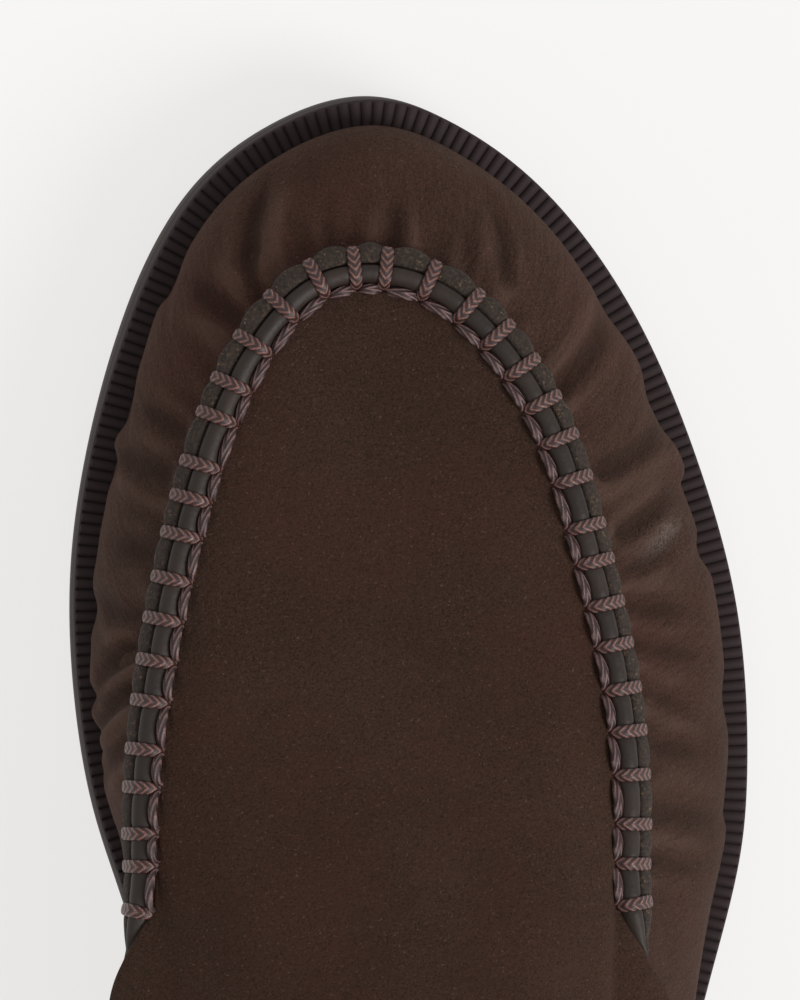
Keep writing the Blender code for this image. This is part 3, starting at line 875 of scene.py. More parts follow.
@dataclass
class Vamp:
    """The vamp and quarters: the folded wall between the welt and the raised seam."""

    last: Last
    leather: float = 1.1 * MM
    columns: int = 1200
    rows: int = 52
    inner_rows: int = 5
    sunk: float = 0.35 * MM
    pinch: float = 0.30 * MM
    pinch_reach: float = 4.5 * MM
    folds: tuple[Fold, ...] = (
        Fold((27.22, 0.15), (27.32, 0.85), 0.9, 2.2, 0.3),
        Fold((26.36, 0.10), (26.56, 0.80), 0.8, 1.9, -0.6),
        Fold((26.04, 0.30), (26.10, 0.80), 0.8, 1.7, 0.4),
        Fold((25.78, 0.40), (25.82, 0.88), 0.6, 1.6),
        Fold((25.26, 0.45), (25.56, 0.85), 0.6, 2.1, 0.4),
        Fold((24.92, 0.40), (25.30, 0.88), 0.55, 1.9),
        Fold((24.66, 0.55), (24.92, 0.84), 0.45, 1.5),
        Fold((24.26, 0.42), (24.58, 0.88), 0.55, 1.9, 0.3),
        Fold((23.58, 0.20), (24.06, 0.88), 0.5, 2.2),
        Fold((23.16, 0.42), (23.54, 0.84), 0.4, 1.8),
        Fold((1.20, 0.35), (1.50, 0.67), 1.0, 2.6, -0.3),
        Fold((1.50, 0.67), (1.66, 0.92), 0.9, 2.0, -0.3),
        Fold((0.54, 0.66), (0.48, 0.90), 0.5, 1.5),
        Fold((29.72, 0.62), (29.62, 0.90), 0.55, 1.5),
        Fold((28.90, 0.62), (28.72, 0.88), 0.5, 1.6),
        Fold((28.66, 0.40), (28.32, 0.74), 0.6, 1.8),
        Fold((2.36, 0.40), (1.92, 0.86), 0.9, 2.2, 0.3),
        Fold((3.30, 0.40), (3.08, 0.84), 0.7, 1.9),
        Fold((3.86, 0.12), (3.44, 0.82), 0.8, 1.9, 0.4),
        Fold((3.72, 0.52), (3.58, 0.84), 0.4, 1.4),
        Fold((4.26, 0.46), (4.00, 0.86), 0.6, 1.9),
        Fold((4.80, 0.20), (4.52, 0.86), 0.6, 1.9),
        Fold((5.18, 0.40), (4.68, 0.90), 1.0, 1.9, 0.6),
        Fold((5.42, 0.26), (4.80, 0.80), 0.8, 1.7, 0.3),
        Fold((5.68, 0.24), (5.00, 0.88), 1.4, 2.1, 0.9),
        Fold((5.88, 0.36), (5.42, 0.88), 0.8, 1.9, 0.5),
        Fold((6.50, 0.25), (6.20, 0.80), 0.4, 2.4),
    )
    swells: tuple[tuple[float, float], ...] = (
        (-15.0, 0.0), (-9.0, 0.0), (-7.5, 0.2), (-6.52, 0.5), (-6.32, -0.2), (-5.72, 0.4), (-5.44, -0.3),
        (-5.20, 0.4), (-4.66, 0.6), (-4.46, -0.7), (-4.30, 0.2), (-4.00, -0.1), (-3.90, 1.3), (-3.44, -0.4),
        (-3.18, 0.7), (-2.80, -0.2), (-2.20, 0.3), (-1.00, 0.1), (0.0, 0.0), (1.0, 0.1), (2.3, 0.3),
        (2.66, -0.4), (2.84, 0.6), (3.20, 0.3), (3.56, -0.5), (3.76, 0.8), (3.88, -0.5), (4.15, 0.3),
        (4.42, 0.6), (4.72, 1.0), (4.88, 0.2), (5.10, 1.3), (5.32, 1.7), (5.43, 0.8), (5.54, 1.9),
        (5.72, 0.2), (5.88, 1.0), (6.06, 1.6), (6.28, 1.3), (6.68, 0.9), (7.5, 0.4), (9.0, 0.0), (15.0, 0.0),
    )
    scuff_at: tuple[float, float] = (25.87, 0.52)
    scuff_size: float = 1.7 * MM
    scuff_length: float = 5.5 * MM
    chart_height: float = 34.0 * MM

    def relief(self, place: np.ndarray, share: np.ndarray) -> np.ndarray:
        """How far the wall stands off the last: folds across it."""
        total = np.zeros(np.broadcast(place, share).shape)
        for fold in self.folds:
            speed, height = self._scale((fold.start[0] + fold.end[0]) / 2)
            run = np.array([(fold.end[0] - fold.start[0]) * speed, (fold.end[1] - fold.start[1]) * height])
            x = wrapped(place - fold.start[0]) * speed
            y = (share - fold.start[1]) * height
            t = np.clip((x * run[0] + y * run[1]) / (run @ run), 0.0, 1.0)
            distance = np.hypot(x - t * run[0], y - t * run[1])
            side = np.sign(x * run[1] - y * run[0])
            grown = fold.depth * MM * (0.25 + 0.75 * smooth(t / 0.6))
            reach = fold.reach * MM
            ridge = 0.45 * (1.0 + fold.lean * side) * bell(distance - 1.6 * reach, reach)
            total += grown * (ridge - bell(distance, reach))
        return total

    def _scale(self, place: float) -> tuple[float, float]:
        """Metres for one section round the shoe, and the wall's height, at a place."""
        ends = np.array([place - 0.1, place + 0.1])
        low, high = self.last.wall(ends, np.array([0.5, 0.5]))
        shares = np.linspace(0.0, 1.0, 13)
        rise = self.last.wall(np.full(13, place), shares)
        return float(np.linalg.norm(high - low)) / 0.2, float(np.linalg.norm(np.diff(rise, axis=0), axis=1).sum())

    def swell(self, place: np.ndarray, share: np.ndarray) -> np.ndarray:
        """How far the wall hangs over the welt or draws back from it, low down."""
        rise = smooth(share / 0.10) * (1.0 - smooth((share - 0.12) / 0.5))
        return stepped(self.swells, place) * MM * rise

    def build(self, seam: "RaisedSeam") -> bpy.types.Object:
        """Make the wall as one closed leather, folded outside and plain inside."""
        last = self.last
        place = np.arange(self.columns) * (SECTIONS / self.columns)
        raised = last.seam(place)
        half = last.seam_width / 2
        base = last.share_under_line(place, blend(raised, half, 0.6 * MM))
        shares = np.linspace(0.0, 1.0, self.rows)[:, None] * base[None, :]
        outer = np.stack([last.wall(place, row) for row in shares])
        under = last.over_line(place, blend(raised, 0.0, 2.5 * MM))
        outer = np.concatenate([outer, under[None]])
        normals = grid_normals(outer)
        spots = np.broadcast_to(place, shares.shape)
        folded = self.relief(spots, shares)
        below = (base - shares) * np.linalg.norm(outer[-2] - outer[0], axis=-1)
        tucks = np.cos(math.tau * seam.stitch_count(place)) * seam.stand(place)
        folded = folded - self.pinch * tucks * bell(below, self.pinch_reach)
        folded *= 1.0 - smooth(1.0 - below / (1.5 * MM)) * 0.6
        height = folded + self.swell(spots, shares)
        height = np.concatenate([height, np.zeros((1, self.columns))])
        face = outer + normals * height[..., None]
        face[0] -= UP * self.sunk
        plain = np.linspace(self.rows - 1, 0, self.inner_rows).astype(int)
        inner_normals = np.concatenate([normals[-1:], normals[plain]])
        inside = np.concatenate([outer[-1:], outer[plain]]) - inner_normals * self.leather
        inside[-1] -= UP * self.sunk
        courses = np.concatenate([face, inside])
        # The fold relief, kept for the shader, which paints wear and highlight on the ridges and shade in the troughs.
        fold_shading_and_wear = np.zeros(courses.shape[:2])
        fold_shading_and_wear[: self.rows] = folded / (0.45 * MM)
        scuff = np.zeros(courses.shape[:2])
        speed, height = self._scale(self.scuff_at[0])
        aside = wrapped(spots - self.scuff_at[0]) * speed / self.scuff_size
        scuff[: self.rows] = bell(np.hypot(aside, (shares - self.scuff_at[1]) * height / self.scuff_length), 1.0)
        lengths = np.append(last.seam_arc(place) % last.seam_length, last.seam_length)
        heights = np.append(np.linspace(0.0, self.chart_height, self.rows + 1), np.zeros(self.inner_rows + 2))
        chart = np.stack(np.meshgrid(lengths, heights), axis=-1)
        blank = Blank("vamp")
        blank.lay(last.to_world(courses), True, True, chart, {"fold_shading_and_wear": fold_shading_and_wear, "scuff": scuff})
        return blank.make(VAMP_NUBUCK, Slot.NUBUCK, ("upper",))


@dataclass
class Apron:
    """The apron, its side wings and the collar: one leather from the seam to the topline."""

    last: Last
    leather: float = 1.2 * MM
    step: float = 0.4 * MM
    collar_step: float = 1.4 * MM
    edge: float = 0.35 * MM
    columns: int = 1200
    rows: int = 56
    inner_rows: int = 5

    def build(self, seam: "RaisedSeam") -> bpy.types.Object:
        """Make the apron as one closed leather with a rounded cut edge."""
        last = self.last
        place = np.arange(self.columns) * (SECTIONS / self.columns)
        raised = last.seam(place)
        half = last.seam_width / 2
        relief = blend(raised, self.step, self.collar_step)
        start = last.over_line(place, blend(raised, half, self.edge))
        lead = last.over_line(place, blend(raised, half * 0.6, 0.0))
        shares = smooth(np.linspace(0.0, 1.0, self.rows) ** 1.3) * 0.3 + np.linspace(0.0, 1.0, self.rows) * 0.7
        outer = np.stack([last.cap(place, start, float(share)) for share in shares])
        normals = grid_normals(np.concatenate([lead[None], outer]))
        lift = np.broadcast_to(relief, outer.shape[:2]).copy()
        inside = np.linalg.norm(outer - outer[0], axis=-1)
        tucks = np.cos(math.tau * seam.stitch_count(place)) * seam.stand(place)
        lift -= 0.12 * MM * tucks * bell(inside, 3.0 * MM)
        face = outer + normals[1:] * lift[..., None]
        edge_high = lead + normals[0] * (relief * 0.72)[:, None]
        plain = np.linspace(self.rows - 1, 0, self.inner_rows).astype(int)
        lining = outer[plain] + normals[1:][plain] * (relief - self.leather)[:, None]
        courses = np.concatenate([lead[None], edge_high[None], face, lining])
        blank = Blank("apron")
        blank.lay(last.to_world(courses), True, True)
        return blank.make(APRON_NUBUCK, Slot.NUBUCK)


@dataclass
class RaisedSeam:
    """The raised seam: the vamp's cut edge and the apron's turned edge, standing side by side."""

    last: Last
    reach: float = 7.55
    fade: float = 0.75
    step: float = 0.30 * MM
    scallop_side: float = 0.60 * MM
    scallop_toe: float = 1.15 * MM
    squeeze: float = 0.35 * MM
    pinch: float = 0.35 * MM
    stitches: tuple[float, ...] = (
        -112.3, -106.1, -100.1, -92.7, -86.1, -79.7, -73.0, -66.7, -60.1, -54.6, -47.3, -40.9, -34.9,
        -28.8, -22.7, -16.6, -9.5, -2.7, 2.0, 7.9, 14.7, 21.8, 28.7, 34.1, 41.7, 47.0, 52.7, 59.5, 65.7,
        72.0, 78.1, 85.4, 91.1, 98.0, 102.9, 109.9,
    )
    cut_lip: tuple[tuple[float, float], ...] = (
        (-2.45, -0.7), (-2.72, 0.2), (-2.84, 1.0), (-2.82, 1.7), (-2.62, 2.25), (-2.2, 2.5), (-1.6, 2.58),
        (-1.0, 2.6), (-0.55, 2.52), (-0.3, 2.25), (-0.22, 1.6), (-0.25, 0.4), (-0.4, -0.7),
    )
    turned_lip: tuple[tuple[float, float], ...] = (
        (-0.25, -0.7), (-0.14, 0.6), (-0.12, 1.7), (0.02, 2.3), (0.4, 2.66), (1.0, 2.74), (1.6, 2.6),
        (2.15, 2.2), (2.5, 1.6), (2.66, 0.9), (2.7, 0.1), (2.5, -0.7),
    )

    def stitch_count(self, place: np.ndarray) -> np.ndarray:
        """The number of stitches passed since the first one; whole at each stitch."""
        arcs = np.array(self.stitches) * MM
        arc = self.last.seam_arc(place)
        pitch = 6.3 * MM
        count = np.interp(arc, arcs, np.arange(len(arcs)))
        count = np.where(arc < arcs[0], (arc - arcs[0]) / pitch, count)
        return np.where(arc > arcs[-1], len(arcs) - 1 + (arc - arcs[-1]) / pitch, count)

    def stand(self, place: np.ndarray) -> np.ndarray:
        """1 along the seam, 0 past its two ends."""
        return smooth((self.reach - np.abs(wrapped(place))) / self.fade)

    def _lip(self, name: str, profile: Sequence[tuple[float, float]], scallop: float) -> Blank:
        """A lip that runs along the seam.

        Args:
            name: the piece's name.
            profile: its section in millimetres: towards the apron, and off the surface.
            scallop: how much of the scalloping its outer side takes.

        Returns:
            The lip, ready to be made.
        """
        last = self.last
        ends = last.seam_arc(np.array([SECTIONS - self.reach, self.reach]))
        arcs = np.linspace(ends[0], ends[1], int((ends[1] - ends[0]) / self.step))
        place = last.seam_place(arcs)
        origin, across, off = last.seam_frame(place)
        stand = np.sqrt(self.stand(place))
        bulge = 0.5 - 0.5 * np.cos(math.tau * self.stitch_count(place))
        toe = bell(wrapped(place), 2.2)
        puff = (blend(toe, self.scallop_toe, self.scallop_side) * np.sqrt(bulge) - self.squeeze) * scallop
        sink = self.pinch * (1.0 - bulge) ** 3
        courses = []
        for x, h in profile:
            outer_part = smooth((-x - 1.2) / 1.2)
            top_part = smooth(h / 2.0)
            side = (x * MM * stand) - puff * outer_part * smooth((h + 0.4) / 0.8) * stand
            height = (h * MM - sink * top_part) * stand
            courses.append(origin + across * side[:, None] + off * height[:, None])
        blank = Blank(name)
        blank.lay(last.to_world(np.stack(courses)), closed_over=True)
        return blank

    def build(self) -> list[bpy.types.Object]:
        """Make both lips."""
        cut = self._lip("vamp_cut_edge", self.cut_lip, 1.0).make(CutEdge(), Slot.NUBUCK, sharp=60.0)
        turned = self._lip("apron_turned_edge", self.turned_lip, 0.0).make(LIP_LEATHER, Slot.NUBUCK, sharp=60.0)
        return [cut, turned]


@dataclass
class SewingCord:
    """The cord that sews the seam: bars over the ridge and runs along its inner foot."""

    last: Last
    seam: RaisedSeam
    bar_width: float = 2.0 * MM
    bar_thickness: float = 0.95 * MM
    run_width: float = 1.75 * MM
    run_thickness: float = 1.2 * MM
    run_side: float = 3.55 * MM
    run_height: float = 1.05 * MM
    hole: float = 0.75 * MM
    bar_path: tuple[tuple[float, float], ...] = (
        (-2.3, -0.9), (-2.65, 0.1), (-2.78, 1.0), (-2.62, 1.85), (-2.0, 2.42), (-0.9, 2.62), (0.4, 2.72),
        (1.5, 2.66), (2.4, 2.15), (2.9, 1.3), (3.05, 0.3), (2.9, -0.9),
    )
    around: int = 14
    along: int = 30

    def _cord(
        self, blank: Blank, centres: np.ndarray, wide: np.ndarray, width: np.ndarray, thickness: np.ndarray
    ) -> None:
        """Lay a flat cord along its centres.

        Args:
            blank: the piece that it is laid in.
            centres: the points that it follows.
            wide: unit vectors across its flat side.
            width: its width at each point.
            thickness: its thickness at each point.
        """
        forward = unit(np.gradient(centres, axis=0))
        wide = unit(wide - forward * (wide * forward).sum(axis=-1, keepdims=True))
        thick = np.cross(forward, wide)
        length = np.concatenate([[0.0], np.cumsum(np.linalg.norm(np.diff(centres, axis=0), axis=1))])
        angles = np.linspace(0.0, math.tau, self.around + 1)
        rows = []
        for angle in angles[:-1]:
            x, y = math.cos(angle), math.sin(angle)
            x = math.copysign(abs(x) ** 0.8, x)
            rows.append(centres + wide * (x * width / 2)[:, None] + thick * (y * thickness / 2)[:, None])
        across = np.cos(angles)[:, None] * width[None, :] / 2
        chart = np.stack([np.broadcast_to(length, across.shape), across], axis=-1)
        blank.lay(self.last.to_world(np.stack(rows)), closed_over=True, chart=chart)

    def build_bars(self) -> bpy.types.Object:
        """Make the bars that cross the ridge, from hole to hole."""
        blank = Blank("seam_bars")
        path = np.array(self.bar_path) * MM
        knots = np.linspace(0.0, 1.0, len(path))
        t = np.linspace(0.0, 1.0, self.along)
        x, h = np.interp(t, knots, path[:, 0]), np.interp(t, knots, path[:, 1])
        for arc in self.seam.stitches:
            place = self.last.seam_place(np.array([arc * MM]))
            origin, across, off = (values[0] for values in self.last.seam_frame(place))
            scale = float(np.sqrt(self.seam.stand(place))[0])
            centres = origin + across * (x * scale)[:, None] + off * (h * scale)[:, None]
            run = np.cross(off, across)
            swell = 0.72 + 0.28 * np.sin(math.pi * t) ** 0.5
            self._cord(
                blank, centres, np.broadcast_to(run, centres.shape), self.bar_width * swell, self.bar_thickness * swell
            )
        return blank.make(BAR_CORD, Slot.CORD, sharp=180.0)

    def build_runs(self) -> bpy.types.Object:
        """Make the runs that lie at the ridge's inner foot, from bar to bar."""
        blank = Blank("seam_runs")
        stitches = np.array(self.seam.stitches) * MM
        t = np.linspace(0.0, 1.0, self.along)
        for first, second in zip(stitches, stitches[1:]):
            arcs = np.linspace(first + self.hole * 0.5, second - self.hole * 0.9, self.along)
            place = self.last.seam_place(arcs)
            origin, across, off = self.last.seam_frame(place)
            lift = self.run_height - 1.5 * MM * (1.0 - np.sin(math.pi * np.clip(t, 0.0, 1.0)) ** 0.35)
            side = self.run_side - 0.5 * MM * (1.0 - np.sin(math.pi * t) ** 0.5) + 0.25 * MM * (t - 0.5)
            centres = origin + across * side[:, None] + off * lift[:, None]
            swell = 0.55 + 0.45 * np.sin(math.pi * t) ** 0.5
            self._cord(blank, centres, across, self.run_width * swell, self.run_thickness * swell)
        return blank.make(RUN_CORD, Slot.CORD, sharp=180.0)

    def build(self) -> list[bpy.types.Object]:
        """Make bars and runs."""
        return [self.build_bars(), self.build_runs()]


FLARE = ((-15.0, 0.35), (-3.0, 0.35), (-1.2, 0.55), (0.5, 1.0), (2.5, 1.0), (4.2, 0.4), (15.0, 0.35))


def flare(place: np.ndarray) -> np.ndarray:
    """How far the foot of the sole's side stands out past the welt's rim."""
    return stepped(FLARE, place) * MM


@dataclass
class RibbedWelt:
    """The storm welt: a smooth rim and a band of rounded ribs that runs up to the upper."""

    last: Last
    pitch: float = 1.67 * MM
    rim: float = 0.22 * MM
    rib_low: float = -0.42 * MM
    rib_high: float = 0.22 * MM
    tuck: float = 4.8 * MM
    steps: int = 8
    fine: int = 9000

    def build(self) -> bpy.types.Object:
        """Make the welt as one closed ring."""
        last = self.last
        fine = np.linspace(0.0, SECTIONS, self.fine)
        loop = last.sole_loop(fine, last.welt_show / 2)
        arc = np.concatenate([[0.0], np.cumsum(np.linalg.norm(np.diff(loop, axis=0), axis=1))])
        ribs = round(arc[-1] / self.pitch)
        count = ribs * self.steps
        place = np.interp(np.arange(count) / count * arc[-1], arc, fine)
        phase = np.arange(count) / self.steps
        crown = np.abs(np.sin(math.pi * phase)) ** 0.75
        ribbed = self.rib_low + (self.rib_high - self.rib_low) * crown
        thick, band = last.welt, last.welt_show + 0.7 * MM
        profile = (
            (0.0, 0.0, 0.0), (0.0, thick - 0.45 * MM, 0.0), (0.05 * MM, thick - 0.25 * MM, 0.0),
            (self.rim, thick - 0.12 * MM, 0.0), (self.rim + 0.06 * MM, thick - 0.05 * MM, 0.6),
            (self.rim + 0.3 * MM, thick, 1.0), (band * 0.45, thick, 1.0), (band * 0.75, thick, 1.0),
            (band, thick, 1.0), (band + 0.1 * MM, thick - 0.2 * MM, 0.0),
            (last.welt_show + self.tuck, thick - 0.2 * MM, 0.0), (last.welt_show + self.tuck, 0.0, 0.0),
        )
        courses = []
        for inset, rise, ribbing in profile:
            low = (1.0 - rise / thick) * 0.38 if inset == 0.0 else 0.0
            plan = last.sole_loop(place, inset - flare(place) * low)
            height = last.welt_base(plan[:, 1]) + rise + ribbed * ribbing
            if rise == 0.0:
                height = height - last.gap
            courses.append(spatial(plan, height))
        blank = Blank("storm_welt")
        blank.lay(last.to_world(np.stack(courses)), True, True)
        return blank.make(WELT_RUBBER, Slot.WELT, ("welt",), sharp=75.0)


class EdgePoint(NamedTuple):
    """One point of a plate's edge: how far it is drawn in, its height and its share of the flare."""

    inset: float
    height: Curve
    flared: float = 0.0


@dataclass
class Plates:
    """The plates and blocks under the foot: outsole, insole, heel block and top piece."""

    last: Last
    insole_tuck: float = 4.8 * MM
    insole: float = 2.2 * MM
    leather: float = 1.8 * MM
    heel_taper: float = 2.5 * MM
    breast_hollow: float = 3.0 * MM
    top_piece: float = 5.0 * MM
    spread: int = 33
    stations: int = 360

    def _slab(self, name: str, edge: Sequence[EdgePoint], first: float = 0.0, hollow: float = 0.0) -> Blank:
        """A plate between the two sides of the sole's outline.

        Args:
            name: the piece's name.
            edge: the edge's points from underside to top.
            first: the place where the plate starts, 0 for the toe.
            hollow: how far its front face is hollowed towards the heel.

        Returns:
            The plate, ready to be made.
        """
        last = self.last
        turn = 0.5 - 0.5 * np.cos(np.linspace(0.0, math.pi, self.stations))
        place = first + (HEEL_PLACE - first) * turn
        shares = np.linspace(0.0, 1.0, self.spread)

        def strip(point: EdgePoint, share: float) -> np.ndarray:
            """Points of one level at a share of the way across."""
            inner = last.sole_loop(place, point.inset - flare(place) * point.flared)
            far = SECTIONS - place
            outer = last.sole_loop(far, point.inset - flare(far) * point.flared)
            plan = inner + (outer - inner) * share
            plan[:, 1] += hollow * 4.0 * share * (1.0 - share) * (1.0 - turn)
            return spatial(plan, point.height(plan[:, 1]))

        bottom = [strip(edge[0], share) for share in shares]
        outer_side = [strip(point, 1.0) for point in edge[1:-1]]
        top = [strip(edge[-1], share) for share in shares[::-1]]
        inner_side = [strip(point, 0.0) for point in edge[-2:0:-1]]
        blank = Blank(name)
        blank.lay(last.to_world(np.stack(bottom + outer_side + top + inner_side)), closed_over=True)
        if first > 0.0:
            front = np.stack([[strip(point, share)[0] for share in shares] for point in edge])
            blank.lay(last.to_world(front))
        return blank

    @staticmethod
    def _over(base: Curve, rise: float) -> Curve:
        """A height function: a base with a rise."""
        return lambda along: base(along) + rise

    def build_outsole(self) -> bpy.types.Object:
        """Make the outsole, its side slightly proud of the welt."""
        under, thick = self.last.underside, self.last.outsole
        edge = [
            EdgePoint(0.9 * MM, self._over(under, 0.0)),
            EdgePoint(0.3 * MM, self._over(under, 0.12 * MM), 0.7),
            EdgePoint(0.05 * MM, self._over(under, 0.5 * MM), 1.0),
            EdgePoint(0.0, self._over(under, thick * 0.2), 1.0),
            EdgePoint(0.0, self._over(under, thick * 0.6), 0.7),
            EdgePoint(0.0, self._over(under, thick - 0.2 * MM), 0.42),
            EdgePoint(0.1 * MM, self._over(under, thick), 0.38),
        ]
        return self._slab("shaped_outsole", edge).make(SOLE_RUBBER, Slot.SOLE, ("outsole",), sharp=50.0)

    def build_insole(self) -> bpy.types.Object:
        """Make the insole that closes the shoe inside."""
        last = self.last
        wide = last.welt_show + self.leather + 2 * last.gap
        narrow = last.welt_show + self.insole_tuck + last.gap
        floor = last.welt + last.gap
        edge = [
            EdgePoint(narrow, self._over(last.welt_base, 0.0)),
            EdgePoint(narrow, self._over(last.welt_base, floor)),
            EdgePoint(wide, self._over(last.welt_base, floor)),
            EdgePoint(wide, self._over(last.welt_base, floor + self.insole - 0.4 * MM)),
            EdgePoint(wide + 0.5 * MM, self._over(last.welt_base, floor + self.insole)),
        ]
        return self._slab("leather_insole", edge).make(LINING_LEATHER, Slot.INSOLE, ("insole",), sharp=50.0)

    def _heel_start(self) -> float:
        """The place where the sole's inner outline passes the heel's breast."""
        fine = np.linspace(0.0, HEEL_PLACE, 3001)
        breast = self.last.sole_length - self.last.heel_length
        return float(fine[np.argmax(self.last.sole(fine)[:, 1] > breast)])

    def _heel_edge(self, low: float, high: float, soft: float) -> list[EdgePoint]:
        """The edge of a layer of the heel, from one height to another, with softened rims."""
        points = []
        for height, drawn in ((low, soft), (low + soft, 0.0), (high - soft, 0.0), (high, soft)):
            taper = self.heel_taper * (1.0 - height / self.last.heel_height) + 0.6 * MM
            points.append(EdgePoint(taper + drawn, self._over(np.zeros_like, height)))
        return points

    def build_heel(self) -> list[bpy.types.Object]:
        """Make the heel block and the top piece under it."""
        start = self._heel_start()
        block = self._heel_edge(self.top_piece, self.last.heel_height, 0.15 * MM)
        piece = self._heel_edge(0.0, self.top_piece, 0.5 * MM)
        made = self._slab("shaped_heel", block, start, self.breast_hollow)
        cap = self._slab("shaped_top_piece", piece, start, self.breast_hollow)
        return [
            made.make(SOLE_RUBBER, Slot.SOLE, ("heel_block",)),
            cap.make(TOP_RUBBER, Slot.TOP_PIECE, ("heel_top_piece",)),
        ]

    def build(self) -> list[bpy.types.Object]:
        """Make all four."""
        return [self.build_outsole(), self.build_insole(), *self.build_heel()]


@dataclass
class Collar:
    """What finishes the opening: the lining, the binding and the back strip."""

    last: Last
    overlap: float = 1.2 * MM
    wall: float = 1.8 * MM
    lining: float = 0.5 * MM
    collar_step: float = 1.4 * MM
    apron_step: float = 0.4 * MM
    binding_height: float = 2.6 * MM
    binding_lap: float = 0.6 * MM
    strip_width: float = 13.0 * MM
    strip: float = 1.2 * MM
    columns: int = 600
    wall_rows: int = 16
    cap_rows: int = 22

    def _base(self, place: np.ndarray) -> np.ndarray:
        """The last's own surface, from the foot to the topline."""
        last = self.last
        start = last.over_line(place, np.full(place.shape, self.overlap))
        rows = [last.wall(place, np.full(place.shape, s)) for s in np.linspace(0.0, 1.0, self.wall_rows)[:-1]]
        rows += [last.cap(place, start, float(s)) for s in np.linspace(0.0, 1.0, self.cap_rows)]
        return np.stack(rows)

    def build_lining(self) -> bpy.types.Object:
        """Make the lining, a thin leather inside the whole upper."""
        place = np.arange(self.columns) * (SECTIONS / self.columns)
        base = self._base(place)
        normals = grid_normals(base)
        near = base - normals * (self.wall - self.lining)
        far = base - normals * self.wall
        blank = Blank("leather_lining")
        blank.lay(self.last.to_world(np.concatenate([far, near[::-1]])), True, True)
        return blank.make(LINING_LEATHER, Slot.INSOLE)

    def build_binding(self) -> bpy.types.Object:
        """Make the binding round the topline, a rounded strip over its cut edge."""
        place = np.arange(self.columns) * (SECTIONS / self.columns)
        base = self._base(place)
        rim, rise = base[-1], unit(base[-1] - base[-2])
        off = grid_normals(base)[-1]
        relief = blend(self.last.seam(place), self.apron_step, self.collar_step)
        outer = relief + self.binding_lap
        inner = np.full_like(outer, -self.wall - self.binding_lap)
        middle, half = (outer + inner) / 2, (outer - inner) / 2
        courses = []
        for angle in np.linspace(0.0, math.pi, 15):
            side = middle + half * math.cos(angle)
            height = self.binding_height * math.sin(angle) ** 0.6
            courses.append(rim + off * side[:, None] + rise * height)
        for side in (inner + self.binding_lap * 0.9, outer - self.binding_lap * 0.9):
            courses.append(rim + off * side[:, None] - rise * 0.2 * MM)
        blank = Blank("rolled_binding")
        blank.lay(self.last.to_world(np.stack(courses)), True, True)
        return blank.make(BINDING_LEATHER, Slot.BINDING, ("topline_binding",), sharp=70.0)

    def build_back_strip(self) -> bpy.types.Object:
        """Make the strip over the upright seam at the back."""
        last = self.last
        near = last.line(np.array([HEEL_PLACE, HEEL_PLACE + 0.5]))[:, :2]
        reach = self.strip_width / 4 / np.linalg.norm(near[1] - near[0])
        place = np.linspace(HEEL_PLACE - reach, HEEL_PLACE + reach, 25)
        fine = np.linspace(0.0, 1.0, 40)
        wall = [last.wall(place, np.full(place.shape, s * 0.96)) for s in fine]
        start = last.over_line(place, np.full(place.shape, self.overlap))
        cap = [last.cap(place, start, float(s)) for s in fine]
        base = np.stack(wall + cap)
        normals = unit(np.cross(np.gradient(base, axis=1), np.gradient(base, axis=0)))
        relief = np.concatenate([np.zeros(len(wall)), np.full(len(cap), self.collar_step)])
        ease = np.convolve(np.pad(relief, 3, mode="edge"), np.full(7, 1 / 7), mode="valid")
        side = np.abs(np.linspace(-1.0, 1.0, 25))
        crown = np.sqrt(np.clip(1.0 - smooth((side - 0.93) / 0.07), 0.0, 1.0))
        over = base + normals * (ease[:, None] + last.gap + self.strip * crown[None, :])[..., None]
        under = base + normals * (ease[:, None] + last.gap * 0.5)[..., None]
        blank = Blank("nubuck_back_strip")
        world = last.to_world
        blank.lay(world(over))
        blank.lay(world(under))
        for end in (0, -1):
            blank.lay(world(np.stack([over[end], under[end]])))
            blank.lay(world(np.stack([over[:, end], under[:, end]])))
        return blank.make(APRON_NUBUCK, Slot.NUBUCK, ("back_strip",))

    def build(self) -> list[bpy.types.Object]:
        """Make all three."""
        return [self.build_lining(), self.build_binding(), self.build_back_strip()]


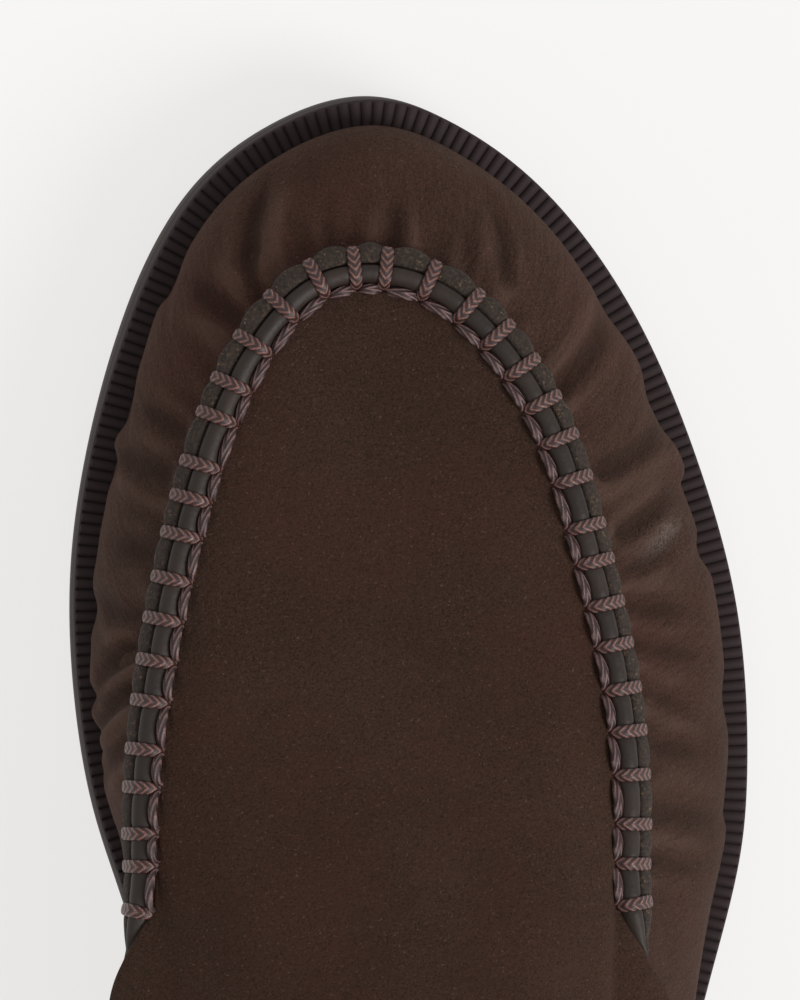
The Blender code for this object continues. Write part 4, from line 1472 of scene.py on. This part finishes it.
@dataclass
class Studio:
    """The pale floor, the soft light and the camera over the forepart."""

    eye: tuple[float, float, float] = (0.107, -0.1839, 1.5)
    target: tuple[float, float, float] = (-0.0013, -0.1839, 0.012)
    lens: float = 437.94
    sensor: float = 36.0
    floor_half: float = 3.0
    key_from: tuple[float, float, float] = (-0.66, 0.42, 0.78)
    key: float = 1.9
    key_spread: float = math.radians(26.0)
    sky: float = 0.58

    def build(self) -> None:
        """Set up everything round the shoe."""
        self._floor()
        self._key_light()
        self._world()
        self._camera()
        bpy.context.scene.view_settings.view_transform = "Standard"

    def _floor(self) -> None:
        """A wide pale floor at height 0."""
        bm = bmesh.new()
        bmesh.ops.create_grid(bm, x_segments=1, y_segments=1, size=self.floor_half)
        mesh = bpy.data.meshes.new("studio_floor")
        bm.to_mesh(mesh)
        bm.free()
        mesh.materials.append(StudioFloor().material())
        floor = bpy.data.objects.new("studio_floor", mesh)
        bpy.context.scene.collection.objects.link(floor)

    def _key_light(self) -> None:
        """A broad soft light from the outer side of the toe."""
        lamp = bpy.data.lights.new("key", "SUN")
        lamp.energy = self.key
        lamp.angle = self.key_spread
        made = bpy.data.objects.new("key", lamp)
        made.matrix_world = self._looking(Vector(self.key_from), Vector((0.0, 0.0, 0.0)), Vector((0.0, 0.0, 1.0)))
        bpy.context.scene.collection.objects.link(made)

    def _world(self) -> None:
        """Even pale light from all round."""
        world = bpy.data.worlds.new("studio")
        world.use_nodes = True
        ground = world.node_tree.nodes["Background"]
        ground.inputs["Color"].default_value = (1.0, 0.995, 0.985, 1.0)
        ground.inputs["Strength"].default_value = self.sky
        bpy.context.scene.world = world

    @staticmethod
    def _looking(at: Vector, target: Vector, upward: Vector) -> Matrix:
        """A transform at a point whose -Z looks at a target and whose +Y leans upwards."""
        back = (at - target).normalized()
        right = upward.cross(back).normalized()
        turned = Matrix((right, back.cross(right), back)).transposed().to_4x4()
        turned.translation = at
        return turned

    def _camera(self) -> None:
        """The camera, nearly overhead, with the toe at the top of the picture."""
        lens = bpy.data.cameras.new("camera")
        lens.sensor_fit = "HORIZONTAL"
        lens.sensor_width = self.sensor
        lens.lens = self.lens
        lens.clip_start = 0.05
        lens.clip_end = 20.0
        camera = bpy.data.objects.new("camera", lens)
        camera.matrix_world = self._looking(Vector(self.eye), Vector(self.target), Vector((0.0, -1.0, 0.0)))
        bpy.context.scene.collection.objects.link(camera)
        bpy.context.scene.camera = camera


def plain(bounds: Sequence[Sequence[float]]) -> list[list[float]]:
    """A box as plain lists of numbers."""
    return [[float(value) for value in corner] for corner in bounds]


def main() -> None:
    """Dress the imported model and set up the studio."""
    logging.basicConfig(level=logging.INFO, format="%(name)s: %(message)s")
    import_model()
    last = Last()
    seam = RaisedSeam(last)
    made = [Vamp(last).build(seam), Apron(last).build(seam), *seam.build()]
    made += SewingCord(last, seam).build()
    made.append(RibbedWelt(last).build())
    made += Plates(last).build()
    made += Collar(last).build()
    Studio().build()
    LOG.info("%d pieces made", len(made))


if __name__ == "__main__":
    main()
